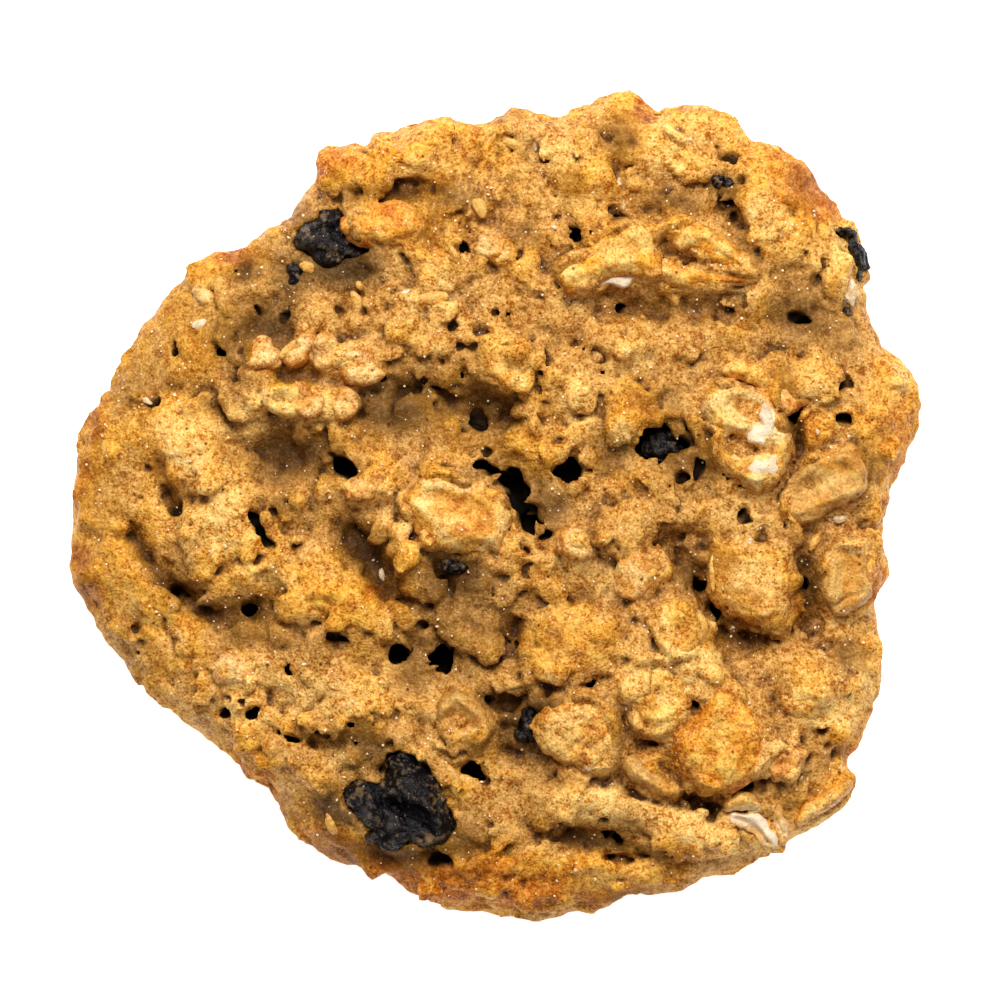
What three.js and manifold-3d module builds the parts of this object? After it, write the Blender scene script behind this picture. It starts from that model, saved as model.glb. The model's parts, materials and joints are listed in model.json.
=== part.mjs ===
// An oatmeal blueberry cookie, seen from above: a craggy round of dough with dried blueberries
// and rolled oats baked into its top. Millimetres, +Z up. The origin is the middle of the flat
// underside, and the camera of the photograph looks straight down with +Y at the top.
import * as THREE from 'three';
import { ImprovedNoise } from 'three/addons/math/ImprovedNoise.js';
import { mergeVertices } from 'three/addons/utils/BufferGeometryUtils.js';
import Module from 'manifold-3d';

// Thickness of the dough, lumps not counted. It falls off from the crown to the rim by a power
// of the reach, and its left third is thinner still.
const CROWN = 8.8;
const RIM = 6.4;
const CROWN_POWER = 2.2;
const LEFT_THINNING = 1.5;
const HALF_LENGTH = 37.5;

// Small unevenness of the crust, as swells and half-size crumbs on them: height and width.
const SWELL = { height: 0.55, width: 3.6 };
const CRUMBS = { height: 0.30, width: 1.8 };
const SIDE_ROUGHNESS = 0.4;

// The pockets that hold berries and oats clear their walls by this much. A pocket is cut with
// fewer faces than the piece in it, and its slack keeps the middles of those faces clear too.
const CLEARANCE = 0.3;
const POCKET_SLACK = 1.06;

// How finely each kind of piece is split into triangles.
const DOUGH_SPLITS = 15;
const LARGE_SPLITS = 3;
const SMALL_SPLITS = 2;
const PIT_SPLITS = 1;

// The cookie's outline, clockwise from its highest point in the photograph.
const OUTLINE = [
  [11.8, 36.3], [14.2, 35.1], [18.0, 35.4], [21.2, 34.4], [22.7, 32.4], [24.8, 31.9],
  [27.2, 30.3], [28.3, 28.4], [30.2, 26.5], [31.2, 24.6], [31.9, 21.5], [32.6, 17.6],
  [34.0, 14.5], [36.6, 11.8], [37.5, 9.0], [37.0, 6.0], [35.2, 1.5], [34.3, -3.0],
  [34.9, -6.3], [33.4, -8.2], [34.1, -14.8], [32.4, -20.0], [31.2, -22.5], [31.7, -24.3],
  [29.4, -26.9], [25.6, -29.6], [22.5, -31.5], [19.3, -33.1], [14.0, -34.3], [8.4, -35.8],
  [3.5, -36.4], [-2.0, -36.2], [-6.0, -35.0], [-9.5, -33.0], [-15.0, -31.0], [-18.3, -28.6],
  [-20.0, -25.4], [-22.3, -23.9], [-23.5, -21.4], [-28.0, -19.0], [-32.0, -15.8],
  [-33.6, -12.9], [-36.5, -9.0], [-37.5, -5.3], [-37.2, 3.0], [-36.9, 6.5], [-34.0, 11.2],
  [-30.0, 17.5], [-25.5, 22.0], [-21.6, 23.4], [-18.3, 26.0], [-16.3, 28.7], [-15.7, 31.2],
  [-12.9, 32.0], [-11.3, 31.7], [-10.8, 33.3], [-8.8, 33.1], [-5.9, 34.4], [-0.6, 34.1],
  [1.7, 35.6], [5.0, 34.4], [8.6, 35.6],
];
const OUTLINE_STEPS = 720;

// Half a cross-section from the crown round the edge to the underside: the share of the reach
// to the outline, and the share of the dough's thickness there.
const SECTION = [
  [0.00, 1.00], [0.80, 1.00], [0.89, 0.95], [0.945, 0.83], [0.98, 0.62], [1.00, 0.36],
  [0.985, 0.10], [0.955, -0.12], [0.90, -0.22],
];
const WIDEST = SECTION.findIndex(([reach], i) => i > 0 && reach === 1);

// How the skin's faces are shared out: down to the edge of the flat top, and to the underside.
const TOP_SHARE = 0.60;
const SIDE_SHARE = 0.95;

// Raised lumps of dough: x, y, length, width, turn in degrees, height.
const LUMPS = [
  [-14.1, 30.0, 4.8, 3.6, 15, 1.2], [-9.6, 31.8, 3.8, 2.8, 0, 0.9], [-11.5, 29.3, 5.0, 3.2, 30, 1.0],
  [-6.8, 31.2, 6.0, 3.8, 20, 1.2], [1.6, 32.9, 4.6, 2.8, -25, 0.9], [7.5, 31.4, 5.6, 3.4, -25, 1.0],
  [-24.6, 20.9, 4.6, 3.2, 25, 1.0], [-20.3, 22.8, 3.4, 4.2, 0, 0.9], [-16.6, 17.0, 3.4, 4.8, -10, 1.0],
  [-20.5, 13.2, 2.8, 3.4, 20, 1.5], [-17.3, 13.5, 3.6, 2.2, 45, 1.3], [-14.9, 13.3, 3.0, 3.4, 10, 1.5],
  [-11.8, 12.3, 4.8, 4.2, -20, 1.2], [-7.0, 16.0, 9.0, 5.4, 10, 1.0], [-4.6, 21.2, 4.6, 3.4, -30, 0.9],
  [0.3, 22.6, 3.8, 2.6, 0, 0.9], [12.9, 31.4, 4.6, 5.0, -40, 1.0], [23.5, 30.5, 6.2, 4.2, -20, 0.9],
  [24.6, 25.2, 5.2, 7.6, 20, 1.6], [27.5, 10.6, 6.0, 5.2, 10, 1.3], [28.3, 7.2, 4.0, 3.6, 0, 1.0],
  [10.5, 14.5, 6.2, 4.6, 0, 0.9], [6.5, 11.0, 4.6, 5.6, -20, 1.2], [1.4, 9.0, 7.2, 8.6, -15, 1.9],
  [12.0, 8.0, 4.6, 6.0, 20, 1.1], [3.2, 5.4, 4.6, 3.4, -30, 1.1], [-27.4, 5.4, 7.0, 8.8, 15, 2.1],
  [-24.6, -1.2, 7.0, 7.6, 20, 1.5], [-21.5, 9.6, 4.0, 4.2, 0, 1.6], [-16.2, 9.0, 8.6, 3.6, -3, 1.7],
  [-11.4, 1.6, 4.6, 3.0, 15, 1.1], [-33.2, -6.5, 5.6, 7.0, 15, 0.9], [-14.4, -7.6, 12.6, 5.2, -28, 2.1],
  [-7.2, -5.0, 3.8, 6.0, -25, 1.5], [-28.0, -11.6, 8.0, 4.8, -40, 0.9], [-22.2, -14.8, 6.6, 4.2, -10, 1.0],
  [-13.0, -16.9, 8.6, 5.6, -15, 1.4], [-18.5, -23.0, 8.0, 4.2, -25, 0.8], [11.4, -2.2, 6.0, 5.0, 15, 1.9],
  [7.2, -3.4, 3.4, 4.6, 5, 1.1], [12.6, -6.4, 5.4, 3.8, 35, 1.3], [7.2, -12.0, 10.4, 7.0, 10, 1.7],
  [23.0, -7.2, 9.2, 7.2, -35, 2.1], [25.5, -21.9, 4.0, 3.8, 20, 1.2], [8.2, -26.4, 10.0, 3.8, -8, 1.6],
  [16.8, -28.6, 9.0, 3.8, -22, 1.7], [3.0, -32.6, 14.0, 4.6, 0, 0.6],
];
// Lumps that meet keep their own domes: this power blends them, and a dome's foot is this wide.
const LUMP_BLEND = 4;
const LUMP_FOOT = 1.3;

// Grooves between the lumps: width, depth and the line that each one follows.
const GROOVE_STEEPNESS = 2.5;
const GROOVES = [
  { width: 2.4, depth: 1.7, line: [[-30.6, 3.0], [-28.8, 0.2], [-31.2, -3.2], [-28.5, -7.6], [-24.5, -9.8]] },
  { width: 3.6, depth: 1.9, line: [[-19.5, 4.6], [-15.8, 4.0]] },
  { width: 2.6, depth: 2.4, line: [[-12.6, -2.4], [-11.4, -4.6], [-9.2, -7.6]] },
  { width: 2.2, depth: 2.1, line: [[-11.0, 9.6], [-7.5, 10.9], [-3.5, 12.2]] },
  { width: 1.6, depth: 1.5, line: [[-13.0, 27.6], [-6.8, 28.2]] },
  { width: 1.6, depth: 2.0, line: [[20.2, 26.6], [22.9, 23.2]] },
  { width: 2.8, depth: 1.6, line: [[8.0, 17.9], [13.0, 17.2], [20.0, 17.4]] },
  { width: 2.0, depth: 1.6, line: [[7.6, 14.0], [9.0, 12.6]] },
  { width: 2.8, depth: 2.2, line: [[17.2, -5.2], [18.8, -9.0], [22.0, -11.8]] },
  { width: 3.0, depth: 2.3, line: [[1.2, -17.6], [2.0, -21.2]] },
  { width: 2.0, depth: 1.7, line: [[4.6, -28.8], [10.5, -29.6], [15.5, -31.0]] },
  { width: 1.5, depth: 1.5, line: [[16.6, -26.0], [20.4, -27.2]] },
  { width: 1.8, depth: 2.0, line: [[25.8, 8.0], [26.4, 4.6]] },
  { width: 2.2, depth: 1.8, line: [[27.4, -5.2], [27.6, -8.2], [28.4, -11.6]] },
  { width: 2.2, depth: 1.2, line: [[14.6, -3.6], [18.0, -3.0]] },
  { width: 1.8, depth: 1.2, line: [[1.6, -11.2], [0.6, -14.0]] },
];

// Open pits in the crust: x, y, length, width, turn in degrees, depth.
const PITS = [
  [0.9, 2.4, 3.2, 2.0, -15, 4.5], [2.3, 0.3, 3.2, 1.7, -70, 4.5], [3.1, -2.3, 2.7, 1.8, -20, 4.5],
  [6.6, 3.1, 2.2, 2.0, 0, 4.0], [-13.3, 3.3, 2.1, 1.9, 0, 3.5], [-4.4, -13.4, 2.9, 2.0, 80, 4.0],
  [-8.3, -13.0, 2.1, 1.9, 0, 3.5], [-1.9, -23.6, 2.6, 2.0, 0, 4.0], [10.6, -29.4, 2.1, 1.8, 0, 3.0],
  [14.7, 5.3, 4.8, 4.0, 20, 2.6], [17.5, 2.4, 2.6, 2.2, 0, 3.0], [7.0, 23.6, 1.8, 1.5, -20, 2.5],
  [26.9, 16.3, 1.7, 1.6, 0, 3.0], [-28.3, -7.7, 1.6, 1.5, 0, 2.5], [-21.4, -9.1, 1.9, 1.5, 0, 2.5],
];
const PIT_RAGGEDNESS = 0.18;

// Dried blueberries: place, size, turn in degrees, and the lift of the middle over the dough.
// A bulge stands out of the berry's outline, and over names the oats that lie on the berry.
const BERRIES = [
  { name: 'blueberry_upper_left', at: [-15.1, 23.4], size: [6.6, 5.8, 4.4], turn: -40, lift: -0.5,
    over: ['oat_piece_upper_left'] },
  { name: 'blueberry_lower_left', at: [-8.6, -27.0], size: [10.4, 6.2, 5.0], turn: -14, lift: -0.9,
    bulge: { angle: 88, width: 24, height: 0.52 } },
  { name: 'blueberry_right_edge', at: [30.3, 22.2], size: [5.6, 5.0, 4.2], turn: 80, lift: -2.1 },
  { name: 'blueberry_lower_middle', at: [2.9, -19.2], size: [3.8, 2.7, 3.2], turn: 75, lift: 0.2,
    over: ['oat_piece_lower'] },
  { name: 'blueberry_in_right_pit', at: [14.7, 5.2], size: [4.2, 3.6, 3.0], turn: 20, lift: -2.0 },
  { name: 'blueberry_under_flake', at: [-3.3, -5.3], size: [3.4, 2.4, 2.4], turn: 0, lift: -1.0,
    over: ['oat_flake_centre'] },
];

// Rolled oat flakes: thin, with a crease along them and a wavy edge. Tip tilts a flake about its
// own length.
const FLAKES = [
  { name: 'oat_flake_centre', at: [-3.4, -0.7], size: [9.9, 7.2, 3.4], turn: -20, lift: 0.5 },
  { name: 'oat_flake_long_left', at: [9.6, 21.8], size: [9.6, 4.2, 2.8], turn: 28, lift: 0.7 },
  { name: 'oat_flake_long_right', at: [19.1, 22.9], size: [9.6, 3.2, 2.6], turn: -25, lift: 0.9 },
  { name: 'oat_flake_long_lower', at: [18.2, 20.1], size: [9.2, 1.9, 2.2], turn: -6, lift: 0.2 },
  { name: 'oat_flake_top_right', at: [16.5, 31.2], size: [5.8, 2.6, 2.0], turn: -42, lift: 0.3 },
  { name: 'oat_flake_above_curl', at: [21.9, 12.3], size: [5.0, 2.0, 2.0], turn: -14, lift: 0.4 },
  { name: 'oat_flake_right', at: [29.2, 1.4], size: [8.7, 4.6, 2.6], turn: 33, lift: 0.7, tip: 8 },
  { name: 'oat_flake_right_rim', at: [31.3, -6.2], size: [7.0, 4.4, 2.8], turn: 75, lift: 0.5 },
  { name: 'oat_flake_creased', at: [15.4, -10.4], size: [5.6, 4.4, 2.8], turn: -65, lift: 0.7 },
  { name: 'oat_flake_slender', at: [13.9, -23.4], size: [5.8, 2.6, 2.2], turn: -42, lift: 0.3 },
  { name: 'oat_shred_white', at: [22.9, -28.6], size: [5.0, 1.9, 1.8], turn: -40, lift: 0.5 },
  { name: 'oat_flake_lower_rim', at: [29.0, -25.0], size: [6.0, 2.6, 2.4], turn: 38, lift: 0.4 },
];

// Solid crumbs of oat.
const CHUNKS = [
  { name: 'oat_piece_upper_left', at: [-9.7, 24.8], size: [6.9, 4.0, 3.6], turn: -4, lift: 0.4 },
  { name: 'oat_piece_yellow', at: [27.5, -16.0], size: [5.6, 5.0, 3.4], turn: 20, lift: 0.5 },
  { name: 'oat_piece_golden', at: [19.9, -20.6], size: [8.8, 7.8, 4.2], turn: 60, lift: 0.6 },
  { name: 'oat_piece_pale', at: [13.3, -16.7], size: [6.4, 5.2, 3.2], turn: 75, lift: 0.5 },
  { name: 'oat_piece_lower', at: [7.1, -20.0], size: [6.8, 5.6, 3.6], turn: -15, lift: 0.5 },
];

// Flakes that have curled up round a hollow.
const CURLS = [
  { name: 'oat_flake_curled', at: [22.0, 6.1], size: [9.7, 6.0, 3.8], turn: 103, lift: 0.8 },
  { name: 'oat_ring', at: [-2.8, -18.2], size: [5.0, 3.8, 2.4], turn: 0, lift: 0.5 },
];

// A topping longer than this gets the larger number of faces.
const LARGE_LENGTH = 9.8;

// The surface of each kind of topping, as shares of its half length, width or thickness.
const FLAKE_CREASE = { depth: 0.42, width: 0.20 };
const FLAKE_WAVE = 0.10;
const FLAKE_BEND = { height: 0.25, scale: 1.3 };
const CURL_HOLLOW = { depth: 1.05, reach: 0.72 };
const CHUNK_LUMPS = 0.10;
const BERRY_FULLNESS = 1.04;
const BERRY_WRINKLES = 0.16;
const NOISE_SCALE = 2.1;

const MATERIALS = {
  dough: new THREE.MeshStandardMaterial({ color: 0xc98f48, roughness: 0.85, metalness: 0 }),
  berry: new THREE.MeshStandardMaterial({ color: 0x1d1a1e, roughness: 0.4, metalness: 0 }),
  flake: new THREE.MeshStandardMaterial({ color: 0xe6b35c, roughness: 0.7, metalness: 0 }),
  chunk: new THREE.MeshStandardMaterial({ color: 0xdf9f42, roughness: 0.75, metalness: 0 }),
  curl: new THREE.MeshStandardMaterial({ color: 0xe9bd74, roughness: 0.7, metalness: 0 }),
};

const wasm = await Module();
wasm.setup();
const noise = new ImprovedNoise();

// A point in the frame of an oval, as shares of its half length and half width.
function ovalShare(x, y, centreX, centreY, length, width, turn) {
  const angle = THREE.MathUtils.degToRad(turn);
  const along = (x - centreX) * Math.cos(angle) + (y - centreY) * Math.sin(angle);
  const across = (y - centreY) * Math.cos(angle) - (x - centreX) * Math.sin(angle);
  return [along / (length / 2), across / (width / 2)];
}

// How far a point lies from a line of straight stretches.
function distanceToLine(x, y, line) {
  const point = new THREE.Vector3(x, y, 0);
  const nearest = new THREE.Vector3();
  let best = Infinity;
  for (let i = 1; i < line.length; i += 1) {
    const start = new THREE.Vector3(...line[i - 1], 0);
    const end = new THREE.Vector3(...line[i], 0);
    new THREE.Line3(start, end).closestPointToPoint(point, true, nearest);
    best = Math.min(best, nearest.distanceTo(point));
  }
  return best;
}

// The outline as its reach from the middle in every direction.
function outlineReach() {
  const corners = OUTLINE.map(([x, y]) => new THREE.Vector3(x, y, 0));
  const curve = new THREE.CatmullRomCurve3(corners, true, 'centripetal');
  const step = (2 * Math.PI) / OUTLINE_STEPS;
  const reach = new Array(OUTLINE_STEPS).fill(0);
  for (const point of curve.getPoints(8 * OUTLINE_STEPS)) {
    const angle = THREE.MathUtils.euclideanModulo(Math.atan2(point.y, point.x), 2 * Math.PI);
    const i = Math.floor(angle / step) % OUTLINE_STEPS;
    reach[i] = Math.max(reach[i], Math.hypot(point.x, point.y));
  }
  return (angle) => {
    const place = THREE.MathUtils.euclideanModulo(angle, 2 * Math.PI) / step - 0.5;
    const i = THREE.MathUtils.euclideanModulo(Math.floor(place), OUTLINE_STEPS);
    return THREE.MathUtils.lerp(reach[i], reach[(i + 1) % OUTLINE_STEPS], place - Math.floor(place));
  };
}
const reachAt = outlineReach();

// The section after a given share of its side, from the edge of the flat top to the underside.
function sectionAt(share) {
  const stretches = SECTION.length - 2;
  const i = Math.min(Math.floor(share * stretches), stretches - 1);
  const part = share * stretches - i;
  const [before, after] = [SECTION[i + 1], SECTION[i + 2]];
  return [
    THREE.MathUtils.lerp(before[0], after[0], part),
    THREE.MathUtils.lerp(before[1], after[1], part),
  ];
}

// The height share of the top at a given share of the reach.
function topShare(reachShare) {
  let i = 1;
  while (i < WIDEST && SECTION[i][0] < reachShare) {
    i += 1;
  }
  const [before, after] = [SECTION[i - 1], SECTION[i]];
  const part = THREE.MathUtils.clamp((reachShare - before[0]) / (after[0] - before[0]), 0, 1);
  return THREE.MathUtils.lerp(before[1], after[1], part);
}

// The dough's full thickness at a point: the crown, its lumps side by side, and the grooves.
function thickness(x, y) {
  const share = Math.min(Math.hypot(x, y) / reachAt(Math.atan2(y, x)), 1);
  let height = RIM + (CROWN - RIM) * (1 - share ** CROWN_POWER);
  height -= LEFT_THINNING * THREE.MathUtils.smoothstep(-x, 0.3 * HALF_LENGTH, HALF_LENGTH);
  let raised = 0;
  for (const [lumpX, lumpY, length, width, turn, rise] of LUMPS) {
    const [u, v] = ovalShare(x, y, lumpX, lumpY, length, width, turn);
    const dome = rise * Math.sqrt(Math.max(0, 1 - (u * u + v * v) / LUMP_FOOT));
    raised += dome ** LUMP_BLEND;
  }
  height += raised ** (1 / LUMP_BLEND);
  for (const { width, depth, line } of GROOVES) {
    const away = distanceToLine(x, y, line) / width;
    height -= depth * Math.exp(-GROOVE_STEEPNESS * away * away);
  }
  return height;
}

function unevenness(x, y, layer, { height, width }) {
  return height * noise.noise(x / width, y / width, layer);
}

// The smooth top of the dough, on which berries and oats are placed.
function doughTop(x, y) {
  const share = Math.min(Math.hypot(x, y) / reachAt(Math.atan2(y, x)), 1);
  return topShare(share) * thickness(x, y);
}

// A closed round skin of small triangles, with every point moved by a rule.
function pressedBall(splits, place) {
  const ball = new THREE.IcosahedronGeometry(1, splits);
  ball.deleteAttribute('normal');
  ball.deleteAttribute('uv');
  const skin = mergeVertices(ball);
  const points = skin.attributes.position;
  const point = new THREE.Vector3();
  for (let i = 0; i < points.count; i += 1) {
    point.fromBufferAttribute(points, i);
    place(point);
    points.setXYZ(i, point.x, point.y, point.z);
  }
  skin.computeVertexNormals();
  return skin;
}

function toSolid(geometry) {
  return new wasm.Manifold(new wasm.Mesh({
    numProp: 3,
    vertProperties: new Float32Array(geometry.attributes.position.array),
    triVerts: new Uint32Array(geometry.index.array),
  }));
}

function toGeometry(solid) {
  const mesh = solid.getMesh();
  const geometry = new THREE.BufferGeometry();
  geometry.setAttribute('position', new THREE.BufferAttribute(mesh.vertProperties, 3));
  geometry.setIndex(new THREE.BufferAttribute(mesh.triVerts, 1));
  geometry.computeVertexNormals();
  return geometry;
}

// The uncut dough: a ball pressed flat, with its underside below the table's level.
function doughSkin() {
  return pressedBall(DOUGH_SPLITS, (point) => {
    const angle = Math.atan2(point.y, point.x);
    const down = (1 - point.z) / 2;
    let share = SECTION[1][0] * Math.sqrt(Math.min(down / TOP_SHARE, 1));
    let rise = 1;
    if (down > TOP_SHARE) {
      const side = (down - TOP_SHARE) / (SIDE_SHARE - TOP_SHARE);
      [share, rise] = sectionAt(Math.min(side, 1));
      share *= side > 1 ? Math.sqrt((1 - down) / (1 - SIDE_SHARE)) : 1;
    }
    const reach = reachAt(angle) * share;
    const x = reach * Math.cos(angle);
    const y = reach * Math.sin(angle);
    const side = unevenness(x, y, 2 * rise, { height: SIDE_ROUGHNESS, width: SWELL.width });
    const spread = 1 + (side * THREE.MathUtils.smoothstep(share, SECTION[1][0], 1)) / HALF_LENGTH;
    const rough = unevenness(x, y, 0.5, SWELL) + unevenness(x, y, 1.5, CRUMBS);
    point.set(x * spread, y * spread, rise * (thickness(x, y) + rough));
  });
}

// Everything under the table's level, which cuts the underside flat.
function tableCut() {
  const depth = 2 * CROWN;
  const cut = new THREE.BoxGeometry(4 * HALF_LENGTH, 4 * HALF_LENGTH, depth);
  cut.translate(0, 0, -depth / 2);
  cut.deleteAttribute('normal');
  cut.deleteAttribute('uv');
  return toSolid(mergeVertices(cut));
}

// One pit: an oval drop whose lower end is as deep as its row says.
function pitCut([x, y, length, width, turn, depth], index) {
  const angle = THREE.MathUtils.degToRad(turn);
  const top = doughTop(x, y);
  return toSolid(pressedBall(PIT_SPLITS, (point) => {
    const wave = noise.noise(point.x * NOISE_SCALE, point.y * NOISE_SCALE, index);
    const ragged = 1 + PIT_RAGGEDNESS * wave;
    const along = (point.x * ragged * length) / 2;
    const across = (point.y * ragged * width) / 2;
    point.set(
      x + along * Math.cos(angle) - across * Math.sin(angle),
      y + along * Math.sin(angle) + across * Math.cos(angle),
      top + point.z * depth,
    );
  }));
}

// The skins of the toppings, each in its own frame with its length along X. All three take the
// unit ball's point and leave it at its true size.
function shapeFlake(point, [length, width, height], seed) {
  const wave = 1 + FLAKE_WAVE * noise.noise(point.x * NOISE_SCALE, point.y * NOISE_SCALE, seed);
  const crease = Math.exp(-((point.y / FLAKE_CREASE.width) ** 2)) * (1 - point.x ** 2);
  const upper = Math.max(point.z, 0);
  const { height: bend, scale } = FLAKE_BEND;
  point.z += bend * noise.noise(point.x * scale, point.y * scale, -seed);
  point.z -= FLAKE_CREASE.depth * crease * upper;
  point.set((point.x * wave * length) / 2, (point.y * wave * width) / 2, (point.z * height) / 2);
}

function shapeCurl(point, [length, width, height], seed) {
  const wave = 1 + FLAKE_WAVE * noise.noise(point.x * NOISE_SCALE, point.y * NOISE_SCALE, seed);
  const inward = Math.hypot(point.x, point.y) / CURL_HOLLOW.reach;
  const hollow = point.z > 0 ? CURL_HOLLOW.depth * Math.max(0, 1 - inward ** 2) : 0;
  point.z -= hollow;
  point.set((point.x * wave * length) / 2, (point.y * wave * width) / 2, (point.z * height) / 2);
}

function shapeChunk(point, [length, width, height], seed) {
  const { x, y, z } = point;
  const lump = 1 + CHUNK_LUMPS * noise.noise(x * NOISE_SCALE, y * NOISE_SCALE, z * NOISE_SCALE + seed);
  point.set((x * lump * length) / 2, (y * lump * width) / 2, (z * lump * height) / 2);
}

function shapeBerry(point, [length, width, height], seed, bulge) {
  const { x, y, z } = point;
  const fold = Math.abs(noise.noise(x * NOISE_SCALE, y * NOISE_SCALE, z * NOISE_SCALE + seed));
  let reach = BERRY_FULLNESS - BERRY_WRINKLES * fold;
  if (bulge) {
    const away = THREE.MathUtils.radToDeg(Math.atan2(y, x)) - bulge.angle;
    reach += bulge.height * Math.exp(-((away / bulge.width) ** 2)) * Math.hypot(x, y);
  }
  point.set((x * reach * length) / 2, (y * reach * width) / 2, (z * reach * height) / 2);
}

const SHAPES = { flake: shapeFlake, curl: shapeCurl, chunk: shapeChunk, berry: shapeBerry };

function toppingSkin(row, index, splits) {
  const shape = SHAPES[row.kind];
  return pressedBall(splits, (point) => shape(point, row.size, index, row.bulge));
}

function splitsOf(row) {
  return row.size[0] > LARGE_LENGTH ? LARGE_SPLITS : SMALL_SPLITS;
}

// A topping at its place in the cookie, as a mesh.
function toppingMesh(row, index) {
  const mesh = new THREE.Mesh(toppingSkin(row, index, splitsOf(row)), MATERIALS[row.kind]);
  mesh.name = row.name;
  mesh.position.set(...row.at, doughTop(...row.at) + row.lift);
  mesh.rotation.set(THREE.MathUtils.degToRad(row.tip ?? 0), 0, THREE.MathUtils.degToRad(row.turn), 'ZYX');
  mesh.updateMatrix();
  return mesh;
}

// The topping grown by the clearance on every side, in the cookie's frame, as a cutter.
function pocketCut(mesh, row, index) {
  const grown = toppingSkin(row, index, splitsOf(row) - 1);
  grown.scale(POCKET_SLACK, POCKET_SLACK, POCKET_SLACK);
  const points = grown.attributes.position;
  const normals = grown.attributes.normal;
  for (let i = 0; i < points.count; i += 1) {
    points.setXYZ(
      i,
      points.getX(i) + normals.getX(i) * CLEARANCE,
      points.getY(i) + normals.getY(i) * CLEARANCE,
      points.getZ(i) + normals.getZ(i) * CLEARANCE,
    );
  }
  grown.applyMatrix4(mesh.matrix);
  return toSolid(grown);
}

// A berry is cut back where an oat lies over it.
function cutBack(mesh, rows, cutters) {
  const row = rows.find((each) => each.name === mesh.name);
  for (const name of row.over ?? []) {
    const inverse = mesh.matrix.clone().invert();
    const cutter = toGeometry(cutters.get(name)).applyMatrix4(inverse);
    mesh.geometry = toGeometry(toSolid(mesh.geometry).subtract(toSolid(cutter)));
  }
}

function makeDough(cutters) {
  let dough = toSolid(doughSkin()).subtract(tableCut());
  PITS.forEach((pit, index) => {
    dough = dough.subtract(pitCut(pit, index));
  });
  for (const cutter of cutters.values()) {
    dough = dough.subtract(cutter);
  }
  const pieces = dough.decompose().sort((a, b) => b.volume() - a.volume());
  const mesh = new THREE.Mesh(toGeometry(pieces[0]), MATERIALS.dough);
  mesh.name = 'cookie_dough';
  return mesh;
}

function makeCookie() {
  const kinds = { flake: FLAKES, chunk: CHUNKS, curl: CURLS, berry: BERRIES };
  const rows = Object.entries(kinds).flatMap(([kind, list]) => list.map((row) => ({ ...row, kind })));
  const toppings = rows.map(toppingMesh);
  const cutters = new Map(toppings.map((mesh, i) => [mesh.name, pocketCut(mesh, rows[i], i)]));
  toppings.forEach((mesh) => cutBack(mesh, rows, cutters));
  const cookie = new THREE.Group();
  cookie.add(makeDough(cutters), ...toppings);
  return cookie;
}

export default makeCookie();
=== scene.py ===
# %% [markdown]
# An oatmeal blueberry cookie, dressed for its close-up. The packed model holds the real sizes: a
# cookie 75 mm wide that lies flat, with its origin in the middle of the underside, +Z up and +Y at
# the top of the photograph. This script builds what the eye reads on top of that: crumb, crags,
# wrinkled berries and toasted oats. Lengths are written in millimetres and become metres only
# when a mesh is made.

import json
import math

import bmesh
import bpy
import numpy as np
import openvdb
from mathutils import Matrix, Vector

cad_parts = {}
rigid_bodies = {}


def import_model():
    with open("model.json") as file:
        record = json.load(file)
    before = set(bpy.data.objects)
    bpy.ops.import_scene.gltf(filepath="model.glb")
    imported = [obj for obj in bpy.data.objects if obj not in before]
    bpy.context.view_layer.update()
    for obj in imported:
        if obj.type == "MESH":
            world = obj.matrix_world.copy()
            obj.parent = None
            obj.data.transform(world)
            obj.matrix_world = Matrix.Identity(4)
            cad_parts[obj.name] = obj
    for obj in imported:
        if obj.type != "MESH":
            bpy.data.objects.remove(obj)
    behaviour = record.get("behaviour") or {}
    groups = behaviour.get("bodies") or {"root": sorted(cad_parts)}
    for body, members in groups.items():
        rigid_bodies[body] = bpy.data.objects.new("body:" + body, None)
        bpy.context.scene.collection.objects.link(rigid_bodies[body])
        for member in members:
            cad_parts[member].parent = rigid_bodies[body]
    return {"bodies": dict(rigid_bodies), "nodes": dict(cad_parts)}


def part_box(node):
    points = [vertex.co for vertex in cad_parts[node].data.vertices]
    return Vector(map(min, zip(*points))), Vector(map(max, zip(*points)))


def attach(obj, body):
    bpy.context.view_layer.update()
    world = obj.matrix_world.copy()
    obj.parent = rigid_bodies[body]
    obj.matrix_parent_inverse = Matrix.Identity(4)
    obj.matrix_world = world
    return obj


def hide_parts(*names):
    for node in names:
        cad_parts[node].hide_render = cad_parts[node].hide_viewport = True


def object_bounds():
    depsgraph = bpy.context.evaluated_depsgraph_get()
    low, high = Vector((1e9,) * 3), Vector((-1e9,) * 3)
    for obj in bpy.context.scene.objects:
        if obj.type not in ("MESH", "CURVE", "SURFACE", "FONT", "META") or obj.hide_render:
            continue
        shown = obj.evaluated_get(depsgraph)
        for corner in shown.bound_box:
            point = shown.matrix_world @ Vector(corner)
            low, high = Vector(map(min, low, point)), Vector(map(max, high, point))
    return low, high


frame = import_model()
ours = set(frame["nodes"].values()) | set(frame["bodies"].values())
for thing in list(bpy.data.objects):
    if thing not in ours:
        bpy.data.objects.remove(thing)
bpy.context.view_layer.update()
cad_low, cad_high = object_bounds()
MM = 0.001
print("nodes in the frame:", len(frame["nodes"]), "box", cad_low[:], cad_high[:])
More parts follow.
